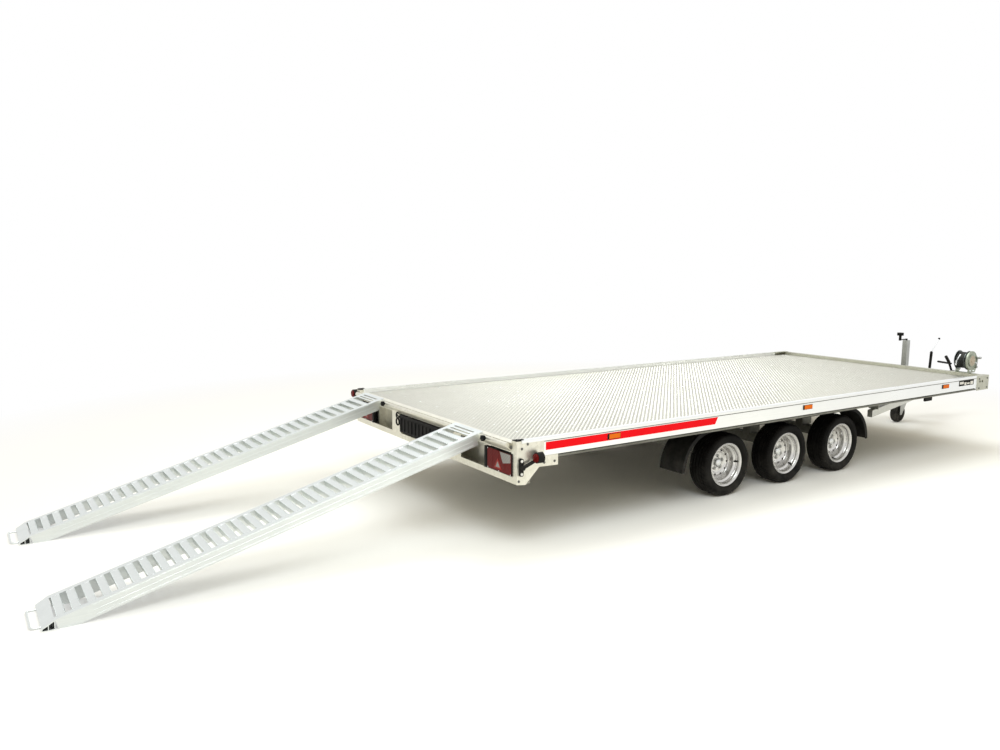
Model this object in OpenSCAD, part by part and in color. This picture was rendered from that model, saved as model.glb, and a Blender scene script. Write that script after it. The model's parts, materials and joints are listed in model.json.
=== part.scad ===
// Three-axle car hauler trailer with a flat load bed and two loading ramps.
// Lengths run forward from the rear edge of the load bed, +Y is left, Z is up from the ground.
// The finished model is moved so that its origin is in the middle of its footprint.

/* [Load bed] */
// Length over the load bed, rear edge to front beam
bed_l = 5930; // [5600:10:6200]
// Width over the side rails
bed_w = 2550; // [2400:10:2550]
// Height of the side rails' top edge
bed_h = 770; // [750:5:800]
// How far the side rails stand above the deck
rail_up = 40; // [20:1:40]
// Height of a side rail
rail_h = 124; // [110:1:126]
// Width of a side rail over its ledge
rail_w = 62; // [55:1:75]
// Wall of the rail extrusion
rail_wall = 4; // [3:0.5:5]
// Length of the folded front corner in front of each rail
front_corner_l = 230; // [150:5:260]
// Thickness of the deck sheet
deck_t = 4; // [2:0.5:5]
// Height of the front beam
front_beam_h = 145; // [120:1:160]
// Depth of the front beam, front to back
front_beam_d = 60; // [50:1:80]
// Thickness of the folded steel sheet
sheet_t = 3; // [2:0.5:4]

/* [Chassis] */
// Height of a cross member
cross_h = 60; // [50:1:65]
// Width of a cross member
cross_w = 50; // [40:1:60]
// Number of cross members
cross_n = 12; // [8:1:14]
// Height of a main beam
main_h = 140; // [120:1:150]
// Width of a main beam
main_w = 60; // [50:1:70]
// Distance of a main beam from the centre line
main_y = 560; // [530:5:600]
// Wall of a main beam
main_wall = 5; // [4:0.5:6]
// Inside width of the ramp store
store_w = 800; // [790:5:840]
// Length of the ramp store
store_l = 2900; // [2850:10:3000]

/* [Rear face] */
// Height of the rear beam
rear_beam_h = 62; // [50:1:70]
// How far the rear beam's crown lies below the rails' top
rear_beam_drop = 25; // [22:1:35]
// Diameter of the bar that the ramps hang on
ramp_bar_d = 32; // [24:1:34]
// Height of the lower lip
lip_h = 44; // [35:1:55]
// Height of the lower lip's underside above the ground
lip_z = 476; // [460:1:490]
// Width of a tail lamp
lamp_w = 300; // [260:5:310]
// Height of a tail lamp
lamp_h = 150; // [130:1:155]
// Width of the number plate flap
flap_w = 780; // [600:5:790]

/* [Wheels] */
// Outside diameter of a tyre
tyre_d = 525; // [500:1:540]
// Width of a tyre
tyre_w = 198; // [180:1:205]
// Diameter of the rim at its bead seats
rim_d = 330; // [320:1:335]
// Width of the rim between its flanges
rim_in_w = 152; // [140:1:160]
// Distance of a wheel's outer rim face in from the side of the bed
rim_inset = 215; // [180:5:240]
// Distance from the bed's rear edge to the first axle
axle_x = 2250; // [2200:10:2400]
// Distance between axles
axle_pitch = 760; // [720:5:800]
// Side of an axle's square tube
axle_tube = 80; // [70:1:90]
// Length of a trailing arm between its two axes
arm_l = 130; // [120:1:150]

/* [Ramps] */
// Length of a ramp from the bar to the toe
ramp_l = 2725; // [2700:5:2790]
// Width of a ramp
ramp_w = 375; // [340:5:385]
// Depth of a ramp's side rail
ramp_rail_h = 80; // [70:1:85]
// Width of a ramp's side rail
ramp_rail_w = 40; // [30:1:48]
// Distance between rungs
rung_pitch = 80; // [70:1:90]
// Distance of the right ramp's middle in from the side of the bed
ramp_right_inset = 587; // [520:1:610]
// Distance of the left ramp's middle in from the side of the bed
ramp_left_inset = 393; // [385:1:420]

/* [Drawbar] */
// Distance of the coupling's nose ahead of the load bed
nose_ahead = 1770; // [1650:10:1850]
// Height of the drawbar legs' underside
leg_z = 360; // [350:5:380]
// Height of a leg
leg_h = 70; // [60:1:80]
// Width of a leg
leg_w = 50; // [40:1:60]
// Distance of a leg from the middle at its rear end
leg_rear_y = 750; // [700:5:760]
// Distance of the jack ahead of the load bed
jack_ahead = 600; // [520:10:650]
// Diameter of the jack wheel
jack_wheel_d = 220; // [200:2:230]
// Height of the jack's head
jack_top_z = 985; // [940:5:1020]

/* [Hidden] */
$fn = 48;
e = 0.01;
running_gap = 0.3;
rail_crown = 34;
rear_beam_d = 60;
front_corner_w = 60;
front_lip = 32;

// Heights and half widths that follow from the driving sizes
half_w = bed_w / 2;
deck_z = bed_h - rail_up;
cross_z = deck_z - deck_t - cross_h;
main_z = cross_z - main_h;
rail_z = bed_h - rail_h;
rail_l = bed_l - front_corner_l;
rear_beam_z = bed_h - rear_beam_drop - rear_beam_h;
store_floor_z = main_z + sheet_t;
post_w = 46;
lamp_y = half_w - sheet_t - post_w;
lamp_z = rear_beam_z - 10 - lamp_h;
post_top = lamp_z + lamp_h + 3;
lamp_back = 38;
rail_rear_x = lamp_back + sheet_t;
post_drop = 5;
tyre_r = tyre_d / 2;
wheel_y = half_w - rim_inset - rim_in_w / 2 - 6;
nose_x = bed_l + nose_ahead;
jack_x = bed_l + jack_ahead;
ramp_right_y = ramp_right_inset - half_w;
ramp_left_y = half_w - ramp_left_inset;
axle_tube_z = tyre_r + 45;

// The ramp hangs on the bar and slopes down so that its toe lies on the ground
bar_x = -30;
bar_z = bed_h - 35;
ramp_top = 24;
rung_w = 46;
rung_h = 40;
rung_t = 3;
tongue_l = 102;
toe_l = 65;
toe_h = 53;
toe_lip = 14;
handle_d = 12;
handle_out = 55;
handle_half = 134;
ramp_slope = asin((bar_z - toe_h) / ramp_l) + asin(ramp_top / ramp_l);
ramp_end_x = bar_x - sqrt(ramp_l * ramp_l - (bar_z - toe_h) * (bar_z - toe_h));
rear_x = ramp_end_x - toe_l - handle_out;
mid_x = (rear_x + nose_x) / 2;

// Sizes and places of the smaller pieces
flap_x = -13;
flap_hinge_z = rear_beam_z - 8;
flap_pin_d = 6;
cross_first = 250;
cross_last = bed_l - front_beam_d - cross_w - 20;
edge_x = 340;
edge_h = 22;
bracket_half = 38;
stub_l = 90;
stub_d = 40;
drum_y = wheel_y - tyre_w / 2 - 3;
disc_z = -20;
bolt_circle = 112;
guard_t = 4;
guard_top = 600;
guard_r = 335;
guard_low = guard_top - 328;
guard_lip = 32;
guard_rear = axle_x - tyre_r - 294;
guard_front = axle_x + 2 * axle_pitch + tyre_r + 102;
guard_in = wheel_y - tyre_w / 2 - 26;
guard_out = wheel_y + tyre_w / 2 + 24;
marker_d = 72;
marker_lens_d = 58;
marker_l = 46;
marker_y = half_w + marker_d / 2 + 3;
marker_foot_x = 30;
marker_foot_z = lip_z + 116;
marker_foot_h = 120;
marker_foot_t = 14;
marker_right = [128, lip_z + 174];
marker_left = [-20, lip_z + 246];
marker_shares = [0.14, 0.5025, 0.8626];
side_marker_l = 120;
side_marker_h = 40;
marker_t = 6;
stripe_x = 235;
stripe_l = 1620;
stripe_h = 54;
stripe_t = 1;
stripe_z = bed_h - 61;
plate_hole_pitch = 320;
leg_rear_x = bed_l - 1230;
leg_nose_x = bed_l + 1420;
leg_nose_y = 40;
jack_plate_z = leg_z + leg_h;
jack_plate_t = 12;
jack_tube_w = 60;
jack_inner_w = 50;
jack_crank_l = 135;
jack_knob_z = 50;
jack_wheel_z = jack_wheel_d / 2;
jack_trail = 80;
swivel_d = 30;
fork_t = 8;
fork_z = jack_wheel_d + 18;
fork_half = 46;
overrun_rear_x = bed_l + 870;
overrun_front_x = bed_l + 1400;
draw_z = leg_z + leg_h + 49;
lever_x = bed_l + 1110;
lever_seat_z = draw_z + 50;
bellows_l = 90;
ball_r = 25.2;
head_r = 42;
neck_d = 54;
ball_x = nose_x - head_r;
socket_z = draw_z - 24;
winch_x = bed_l - 22;
winch_y = -half_w + 255;
winch_z = bed_h + 124;
winch_base_z = deck_z + front_lip;
winch_half = 66;
reel_d = 200;
winch_crank_x = winch_x + 80;
winch_crank_z = winch_base_z + 62;
winch_crank_l = 98;

// Moves the finished model to its origin
module placed() {
    translate([-mid_x, 0, 0]) children();
}

// Repeats a piece on the right, and mirrored on the left
module both_sides() {
    children();
    mirror([0, 1, 0]) children();
}

// Rectangle with round corners, made of true arcs, centred
module round_rect(w, h, r) {
    square([w - 2 * r, h], center = true);
    square([w, h - 2 * r], center = true);
    for (x = [-1, 1], y = [-1, 1])
        translate([x * (w / 2 - r), y * (h / 2 - r)]) circle(r);
}

// Cylinder between two points of one XZ plane
module rod(a, b, d) {
    dx = b[0] - a[0];
    dz = b[2] - a[2];
    translate(a) rotate([0, atan2(dx, dz), 0]) cylinder(d = d, h = sqrt(dx * dx + dz * dz));
}

// Box between two corners
module span(a, b) {
    translate(a) cube([b[0] - a[0], b[1] - a[1], b[2] - a[2]]);
}

// Extrudes a profile drawn as (along Y, up Z) forward along X
module along_x(l) {
    rotate([90, 0, 90]) linear_extrude(l) children();
}

// Extrudes a profile drawn as (along X, up Z) across, centred on Y
module across(w) {
    rotate([90, 0, 0]) linear_extrude(w, center = true) children();
}

// Side rail profile: columns are distance in from the outer face, height above the rail's foot
module rail_profile() {
    ledge = rail_h - rail_up - deck_t;
    crown = rail_crown;
    groove = 96;
    difference() {
        polygon([[0, 0], [0, groove - 3], [3, groove - 1], [3, groove + 3], [0, groove + 5],
            [0, rail_h - 9], [6, rail_h], [crown, rail_h], [crown, ledge], [rail_w, ledge],
            [rail_w, ledge - rail_wall], [crown, ledge - rail_wall], [crown, rail_wall],
            [rail_w - 12, rail_wall], [rail_w - 12, 0]]);
        polygon([[rail_wall, rail_wall], [rail_wall, groove - 6], [crown - rail_wall, groove - 6],
            [crown - rail_wall, rail_wall]]);
        polygon([[rail_wall + 3, groove + 1], [rail_wall + 3, rail_h - rail_wall],
            [crown - rail_wall, rail_h - rail_wall], [crown - rail_wall, groove + 1]]);
    }
}

module side_rail_right() {
    color("gainsboro") translate([rail_rear_x, -half_w + sheet_t, rail_z]) along_x(rail_l - rail_rear_x) rail_profile();
}

module side_rail_left() {
    mirror([0, 1, 0]) side_rail_right();
}

// Black caps on the corner posts, each with a lip over the rail's end
module rail_caps() {
    y = -half_w + sheet_t;
    color("dimgray") both_sides() {
        span([0, y, bed_h - post_drop], [lamp_back, y + rail_crown + 20, bed_h + e]);
        span([8, y + 4, bed_h], [lamp_back + 22, y + rail_crown - 4, bed_h + 4]);
    }
}

// Chequered deck sheet, lying on the rails' ledges and the cross members
module deck_plate() {
    side = half_w - sheet_t - rail_crown - running_gap;
    color("lightgray") span([rear_beam_d + running_gap, -side, deck_z - deck_t],
        [bed_l - front_beam_d - running_gap, side, deck_z]);
}

// Front cross beam, open underneath, with its lip above the deck
module front_beam() {
    top = deck_z + front_lip;
    low = top - front_beam_h;
    side = half_w - front_corner_w - running_gap;
    color("silver") difference() {
        span([bed_l - front_beam_d, -side, low], [bed_l, side, top]);
        span([bed_l - front_beam_d + sheet_t, -side - e, low - e], [bed_l - sheet_t, side + e, top - sheet_t]);
    }
}

// Folded corners that close the rails' front ends, each with two holes in its side
module front_corners() {
    low = deck_z + front_lip - front_beam_h;
    top = bed_h - 4;
    color("silver") both_sides() difference() {
        span([rail_l + running_gap, -half_w, low], [bed_l, -half_w + front_corner_w, top]);
        span([rail_l - e, -half_w + sheet_t, low - e], [bed_l - sheet_t, -half_w + front_corner_w + e, top - sheet_t]);
        for (x = [60, 105])
            translate([rail_l + x, -half_w - 1, rail_z + 62]) rotate([-90, 0, 0]) cylinder(d = 26, h = sheet_t + 2);
    }
}

// Rear cross beam with the round bar that the ramps hook over
module rear_beam() {
    side = half_w - sheet_t - rail_w - running_gap;
    top = bed_h - rear_beam_drop;
    color("silver") difference() {
        union() {
            span([0, -side, rear_beam_z], [rear_beam_d, side, top]);
            translate([bar_x, 0, bar_z]) rotate([90, 0, 0]) cylinder(d = ramp_bar_d, h = 2 * side - 10, center = true);
            across(2 * side - 10) polygon([[bar_x + 4, bar_z - 14], [1, rear_beam_z + 30], [1, rear_beam_z + 4],
                [bar_x - 2, bar_z - 15]]);
        }
        span([sheet_t, -half_w, rear_beam_z - e], [rear_beam_d - sheet_t, half_w, top - sheet_t]);
    }
}

// Lower lip, posts beside the lamps and the store, lamp back plates, and the pin that the flap hangs on
module rear_frame() {
    top = rear_beam_z;
    inner = lamp_y - lamp_w - 30;
    outer = half_w - sheet_t;
    color("silver") {
        span([0, -outer, lip_z], [sheet_t, outer, lip_z + lip_h]);
        span([0, -outer, lip_z], [103, outer, lip_z + sheet_t]);
        span([100, -outer, lip_z], [103, outer, lip_z + lip_h]);
        both_sides() {
            span([0, -outer, lip_z], [lamp_back, -outer + post_w, post_top]);
            span([0, -outer, post_top - e], [lamp_back, -outer + rail_w, bed_h - post_drop]);
            span([lamp_back, -outer + rail_w + running_gap, lip_z], [lamp_back + sheet_t, -inner, top]);
            span([lamp_back, -inner - sheet_t, lip_z], [103, -inner, top]);
            span([0, -store_w / 2 - 160, lip_z], [sheet_t, -store_w / 2, top]);
            span([0, -store_w / 2 - sheet_t, lip_z], [103, -store_w / 2, top]);
            span([100, -inner, lip_z], [103, -store_w / 2, top]);
            span([flap_x - 6, -store_w / 2 - 12, flap_hinge_z - 6], [sheet_t, -flap_w / 2 - 1, flap_hinge_z + 6]);
        }
        translate([flap_x, 0, flap_hinge_z]) rotate([90, 0, 0]) cylinder(d = flap_pin_d, h = flap_w + 8, center = true);
    }
}

// Stepped side plates at the rear corners
module corner_plates() {
    plate_front = 336;
    color("silver") both_sides() translate([0, -half_w + sheet_t, 0]) rotate([90, 0, 0]) linear_extrude(sheet_t)
        polygon([[0, lip_z], [70, lip_z - 8], [180, lip_z + 100], [plate_front, lip_z + 95],
            [plate_front, rail_z - 1], [220, rail_z - 1], [220, bed_h - 22], [0, bed_h - 22]]);
}

// Place of a cross member
function cross_x(i) = cross_first + (cross_last - cross_first) * i / (cross_n - 1);

// Cross members under the deck with the hangers of the mudguards, and the edge strips under the rails
module cross_members() {
    side = half_w - sheet_t - rail_w - running_gap;
    color("silver") {
        for (i = [0:cross_n - 1])
            span([cross_x(i), -side, cross_z], [cross_x(i) + cross_w, side, deck_z - deck_t]);
        both_sides() {
            for (i = [0:cross_n - 1])
                if (cross_x(i) > guard_rear + guard_r && cross_x(i) + cross_w < guard_front - guard_r)
                    span([cross_x(i), -wheel_y - 60, guard_top], [cross_x(i) + sheet_t, -wheel_y + 60, cross_z]);
            span([edge_x, -half_w + 6, rail_z - edge_h], [rail_l, -half_w + 23, rail_z - edge_h + 13]);
            span([edge_x, -half_w + 20, rail_z - edge_h], [rail_l, -half_w + 23, rail_z]);
            span([edge_x, -half_w + 20, rail_z - sheet_t], [rail_l, -half_w + 60, rail_z]);
        }
    }
}

// Two main beams, open to the outside
module main_beams() {
    front = bed_l - front_beam_d - 10;
    color("silver") both_sides() difference() {
        span([130, -main_y - main_w / 2, main_z], [front, -main_y + main_w / 2, cross_z]);
        span([130 - e, -main_y - main_w / 2 - e, main_z + main_wall],
            [front + e, -main_y + main_w / 2 - main_wall, cross_z - main_wall]);
    }
}

// Tray that takes both ramps side by side between the main beams
module ramp_store() {
    side = main_y - main_w / 2;
    color("silver") {
        span([110, -side, main_z], [store_l, side, store_floor_z]);
        both_sides() span([110, -store_w / 2 - sheet_t, main_z], [store_l, -store_w / 2, cross_z]);
    }
}

// Three torsion axle tubes with the brackets that hold them to the main beams
module torsion_axles() {
    half = wheel_y - tyre_w / 2 - 40;
    color("silver") for (i = [0:2])
        let (x = axle_x + i * axle_pitch + arm_l) {
            span([x - axle_tube / 2, -half, axle_tube_z - axle_tube / 2], [x + axle_tube / 2, half, axle_tube_z + axle_tube / 2]);
            both_sides() span([x - 70, -main_y - bracket_half, axle_tube_z + axle_tube / 2 - e],
                [x + 70, -main_y + bracket_half, main_z]);
        }
}

// Trailing arms, stub axles and brake back plates, one set for each wheel
module wheel_carriers() {
    arm_y = wheel_y - tyre_w / 2 - 36;
    color("gray") both_sides() for (i = [0:2])
        let (x = axle_x + i * axle_pitch) {
            translate([x + arm_l, -arm_y + 3.7, axle_tube_z]) rotate([90, 0, 0]) cylinder(d = 70, h = 24);
            translate([x, -arm_y + 3.7, tyre_r]) rotate([90, 0, 0]) cylinder(d = 70, h = 24);
            translate([x + arm_l / 2, -arm_y - 8, (axle_tube_z + tyre_r) / 2])
                rotate([0, -atan2(axle_tube_z - tyre_r, arm_l), 0]) cube([arm_l, 22, 52], center = true);
            translate([x, -arm_y - 20, tyre_r]) rotate([90, 0, 0]) cylinder(d = 236, h = 8);
            translate([x, -arm_y - 20, tyre_r]) rotate([90, 0, 0]) cylinder(d = stub_d, h = stub_l);
        }
}

// Rim with a deep dish; Z of the profile points to the outside of the vehicle
module rim(side, i) {
    r = rim_d / 2;
    w = rim_in_w / 2;
    well = r - 27;
    cap_r = 33;
    pad = disc_z - 10;
    color("silver") translate([axle_x + (i - 1) * axle_pitch, side * wheel_y, tyre_r])
        rotate([-90 * side, 0, 0]) difference() {
            union() {
                rotate_extrude($fn = 96) polygon([[r - 5, -w - 6], [r + 16, -w - 6], [r + 16, -w], [r, -w],
                    [r, -w + 24], [well + 5, -w + 36], [well + 5, w - 44], [r, w - 30],
                    [r, w], [r + 16, w], [r + 16, w + 6], [r - 5, w + 6], [r - 5, w - 32], [well, w - 46],
                    [well, disc_z - 8], [well - 4, disc_z - 8], [122, disc_z - 2], [106, disc_z + 10], [94, disc_z + 10],
                    [84, disc_z], [cap_r, disc_z], [cap_r, disc_z + 14], [cap_r - 6, disc_z + 22], [cap_r - 16, disc_z + 26],
                    [0, disc_z + 27], [0, pad], [88, pad], [96, disc_z], [104, disc_z], [120, pad],
                    [well, disc_z - 18], [well, -w + 33], [r - 5, -w + 20]]);
                for (k = [0:4]) rotate([0, 0, 72 * k]) translate([bolt_circle / 2, 0, disc_z - 1]) cylinder(d = 22, h = 12);
                translate([0, 0, drum_y - wheel_y]) cylinder(d = 230, h = wheel_y - drum_y + disc_z - 14);
                translate([0, 0, disc_z - 20]) cylinder(r = 82, h = 11);
            }
            translate([0, 0, drum_y - wheel_y - e]) cylinder(d = stub_d + 2 * running_gap, h = stub_l - 8);
        }
}

module tyre(side, i) {
    r = rim_d / 2 + running_gap;
    w = rim_in_w / 2 - running_gap;
    h = tyre_w / 2;
    color("dimgray") translate([axle_x + (i - 1) * axle_pitch, side * wheel_y, tyre_r])
        rotate([-90 * side, 0, 0]) rotate_extrude($fn = 96)
            polygon([[r, -w], [r + 17, -w], [r + 32, -h + 6], [r + 52, -h], [tyre_r - 26, -h + 4],
                [tyre_r - 8, -h + 14], [tyre_r, -h + 30], [tyre_r, h - 30], [tyre_r - 8, h - 14],
                [tyre_r - 26, h - 4], [r + 52, h], [r + 32, h - 6], [r + 17, w], [r, w],
                [r + 4, w - 20], [r + 30, h - 16], [tyre_r - 28, h - 20], [tyre_r - 16, h - 40],
                [tyre_r - 16, -h + 40], [tyre_r - 28, -h + 20], [r + 30, -h + 16], [r + 4, -w + 20]]);
}

// Side view of the long mudguard's skin, s thick: a flat top between two round shoulders
module guard_band(s) {
    w = guard_front - guard_rear;
    h = 2 * guard_r + 30;
    difference() {
        translate([guard_rear + w / 2, guard_top - h / 2]) round_rect(w, h, guard_r);
        translate([guard_rear + w / 2, guard_top - h / 2]) round_rect(w - 2 * s, h - 2 * s, guard_r - s);
        translate([guard_rear - 1, guard_low - h]) square([w + 2, h]);
    }
}

module mudguard_right() {
    color("dimgray") {
        translate([0, -(guard_in + guard_out) / 2, 0]) across(guard_out - guard_in) guard_band(guard_t);
        translate([0, -guard_out + guard_t / 2, 0]) across(guard_t) guard_band(guard_lip);
    }
}

module mudguard_left() {
    mirror([0, 1, 0]) mudguard_right();
}

module tail_lamps() {
    color("firebrick") both_sides() translate([0, -lamp_y + lamp_w / 2 + 0, lamp_z + lamp_h / 2])
        rotate([90, 0, 90]) translate([0, 0, -12]) linear_extrude(50) round_rect(lamp_w - 2, lamp_h, 8);
}

module lamp_ends() {
    color("dimgray") both_sides() span([-14, -lamp_y + lamp_w, lamp_z], [12, -lamp_y + lamp_w + 26, lamp_z + lamp_h]);
}

// Rubber arm of a corner marker lamp, bolted to the side plate; p is the place of the lamp's rear face
module marker_arm(p) {
    translate([marker_foot_x, -half_w, marker_foot_z]) rotate([90, 0, 0]) linear_extrude(marker_foot_t)
        round_rect(30, marker_foot_h, 12);
    difference() {
        union() {
            translate([marker_foot_x, -half_w - marker_foot_t + e, marker_foot_z]) rotate([90, 0, 0]) cylinder(d = 30, h = 22);
            rod([marker_foot_x, -half_w - 25, marker_foot_z], [p[0] + marker_l / 2, -half_w - 25, p[1] - 12], 24);
            translate([p[0], -marker_y, p[1]]) rotate([0, 90, 0]) cylinder(d = marker_d, h = marker_l);
        }
        translate([p[0] - 60, -marker_y, p[1]]) rotate([0, 90, 0]) cylinder(d = marker_lens_d + 1, h = 60);
    }
}

// The right lamp is bent forward and the left one up
module marker_arms() {
    color("dimgray") {
        marker_arm(marker_right);
        mirror([0, 1, 0]) marker_arm(marker_left);
    }
}

module marker_lens(p) {
    translate([p[0] - 10, -marker_y, p[1]]) rotate([0, 90, 0]) cylinder(d = marker_lens_d, h = 10);
}

module marker_lenses() {
    color("firebrick") {
        marker_lens(marker_right);
        mirror([0, 1, 0]) marker_lens(marker_left);
    }
}

// Amber lamps along both rails
module side_markers() {
    color("orange") both_sides() for (share = marker_shares)
        translate([share * bed_l, -half_w + sheet_t, stripe_z]) rotate([90, 0, 0])
            linear_extrude(marker_t) round_rect(side_marker_l, side_marker_h, 4);
}

// Red stripes along the rear part of both rails, with a slanted front end, cut out round the lamp
module side_stripes() {
    y = -half_w + sheet_t;
    color("crimson") both_sides() translate([0, y, 0]) rotate([90, 0, 0]) linear_extrude(stripe_t) difference() {
        polygon([[stripe_x, stripe_z - stripe_h / 2], [stripe_x + stripe_l, stripe_z - stripe_h / 2],
            [stripe_x + stripe_l + 30, stripe_z + stripe_h / 2], [stripe_x, stripe_z + stripe_h / 2]]);
        translate([marker_shares[0] * bed_l, stripe_z])
            square([side_marker_l + 1, side_marker_h + 1], center = true);
    }
}

// Moulded flap in front of the ramp store, with a rolled upper edge that turns on its pin
module number_plate_flap() {
    h = 138;
    rib_n = 13;
    low = flap_hinge_z - h;
    color("dimgray") difference() {
        union() {
            span([flap_x - 3, -flap_w / 2, low], [flap_x + 3, flap_w / 2, flap_hinge_z]);
            translate([flap_x, 0, flap_hinge_z]) rotate([90, 0, 0]) cylinder(d = 12, h = flap_w, center = true);
            for (i = [0:rib_n - 1])
                span([flap_x - 9, -flap_w / 2 + 20 + i * (flap_w - 52) / (rib_n - 1), low + 14],
                    [flap_x, -flap_w / 2 + 32 + i * (flap_w - 52) / (rib_n - 1), flap_hinge_z - 22]);
        }
        translate([flap_x, 0, flap_hinge_z]) rotate([90, 0, 0])
            cylinder(d = flap_pin_d + 2 * running_gap, h = flap_w + 2, center = true);
        for (y = [-plate_hole_pitch / 2, plate_hole_pitch / 2])
            translate([flap_x, y, flap_hinge_z - 70]) rotate([0, 90, 0]) cylinder(d = 6, h = 30, center = true);
    }
}

// Star knobs that stop the ramps from sliding along the bar
module ramp_knobs() {
    color("dimgray") for (y = [ramp_right_y - ramp_w / 2 - 92, ramp_left_y - ramp_w / 2 - 100])
        translate([bar_x - ramp_bar_d / 2 - 34, y, bar_z + 8]) rotate([0, 90, 0]) {
            cylinder(d = 32, h = 22);
            for (k = [0:4]) rotate([0, 0, 72 * k]) translate([14, 0, 0]) cylinder(d = 13, h = 22);
            cylinder(d = 12, h = 34 - running_gap);
        }
}

// One leg of the V-shaped drawbar
module drawbar_leg_right() {
    dy = leg_rear_y - leg_nose_y;
    dx = leg_nose_x - leg_rear_x;
    color("silver") difference() {
        translate([leg_rear_x, -leg_rear_y, leg_z]) rotate([0, 0, atan2(dy, dx)])
            translate([0, -leg_w / 2, 0]) cube([sqrt(dx * dx + dy * dy), leg_w, leg_h]);
        span([leg_rear_x - 100, -leg_w - 2 * leg_rear_y, leg_z - 1], [leg_rear_x, 0, leg_z + leg_h + 1]);
        span([leg_nose_x - 300, -0.5, leg_z - 1], [leg_nose_x + 100, leg_w * 2, leg_z + leg_h + 1]);
    }
}

module drawbar_leg_left() {
    mirror([0, 1, 0]) drawbar_leg_right();
}

// Distance of a leg from the middle at a given length
function leg_y(x) = leg_nose_y + (leg_rear_y - leg_nose_y) * (leg_nose_x - x) / (leg_nose_x - leg_rear_x);

// Hangers between the drawbar legs and two of the cross members
module drawbar_brackets() {
    color("silver") both_sides() for (i = [cross_n - 3, cross_n - 1])
        let (x = cross_x(i) + 10)
            span([x, -leg_y(x) - 55, leg_z + leg_h], [x + 6, -leg_y(x) + 55, cross_z]);
}

// Plate across the legs that carries the jack
module jack_plate() {
    hole = jack_tube_w / 2 + running_gap;
    reach = leg_y(jack_x) + leg_w / 2;
    color("silver") difference() {
        span([jack_x - 90, -reach, jack_plate_z], [jack_x + 90, reach, jack_plate_z + jack_plate_t]);
        span([jack_x - hole, -hole, jack_plate_z - 1], [jack_x + hole, hole, jack_plate_z + jack_plate_t + 1]);
    }
}

// Square outer tube of the jack, closed on top, with its clamp collar
module jack_tube() {
    r = jack_tube_w / 2;
    b = jack_inner_w / 2 + running_gap;
    collar_z = jack_plate_z + jack_plate_t;
    color("silver") difference() {
        union() {
            span([jack_x - r, -r, jack_plate_z - 20], [jack_x + r, r, jack_top_z]);
            span([jack_x - r - 10, -r - 10, collar_z], [jack_x + r + 10, r + 10, collar_z + 50]);
        }
        span([jack_x - b, -b, jack_plate_z - 21], [jack_x + b, b, jack_top_z - 10]);
    }
}

module jack_crank() {
    z = jack_top_z + 12;
    knob_x = jack_x - jack_crank_l;
    color("dimgray") {
        translate([jack_x, 0, jack_top_z]) cylinder(d = 24, h = 18);
        rod([jack_x, 0, z], [knob_x, 0, z], 12);
        translate([knob_x, 0, z - 10]) cylinder(d = 30, h = jack_knob_z + 11);
        translate([knob_x, 0, z + jack_knob_z]) cylinder(d = 72, h = 33);
    }
}

module jack_inner() {
    r = jack_inner_w / 2;
    low = fork_z + fork_t + running_gap;
    color("silver") difference() {
        span([jack_x - r, -r, low], [jack_x + r, r, low + 560]);
        translate([jack_x, 0, low - 1]) cylinder(d = swivel_d + 2 * running_gap, h = 52);
    }
}

// Fork that swivels under the inner tube, with the wheel's axle
module jack_fork() {
    back = jack_x - jack_trail - 20;
    front = jack_x + 32;
    color("silver") {
        span([back, -fork_half, fork_z], [front, fork_half, fork_z + fork_t]);
        translate([jack_x, 0, fork_z + fork_t - e]) cylinder(d = swivel_d, h = 48);
        for (y = [-fork_half, fork_half - 6])
            translate([0, y + 6, 0]) rotate([90, 0, 0]) linear_extrude(6)
                polygon([[back, fork_z + e], [front, fork_z + e], [back + 40, jack_wheel_z - 20], [back, jack_wheel_z - 20]]);
        translate([jack_x - jack_trail, 0, jack_wheel_z]) rotate([90, 0, 0]) cylinder(d = 16, h = 2 * fork_half, center = true);
    }
}

module jack_wheel() {
    r = jack_wheel_d / 2;
    hub = 8 + running_gap;
    color("dimgray") translate([jack_x - jack_trail, 0, jack_wheel_z]) rotate([90, 0, 0])
        rotate_extrude() polygon([[hub, -39.7], [26, -39.7], [26, -20], [r - 34, -20], [r - 30, -32], [r - 8, -32], [r, -18],
            [r, 18], [r - 8, 32], [r - 30, 32], [r - 34, 20], [26, 20], [26, 39.7], [hub, 39.7]]);
}

// Overrun housing on the legs' nose, with the flat seat of the handbrake lever
module overrun_housing() {
    color("silver") {
        span([overrun_rear_x, -55, leg_z + leg_h], [overrun_front_x, 55, leg_z + leg_h + 12]);
        translate([overrun_rear_x + 40, 0, draw_z]) rotate([0, 90, 0]) cylinder(d = 84, h = overrun_front_x - overrun_rear_x - 40);
        span([lever_x - 50, -32, draw_z], [lever_x + 60, 32, lever_seat_z]);
    }
}

module draw_bellows() {
    fold_n = 5;
    fold_l = bellows_l / fold_n;
    color("dimgray") for (i = [0:fold_n - 1])
        translate([overrun_front_x + i * fold_l, 0, draw_z]) rotate([0, 90, 0]) cylinder(d1 = 56, d2 = 76, h = fold_l);
}

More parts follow.
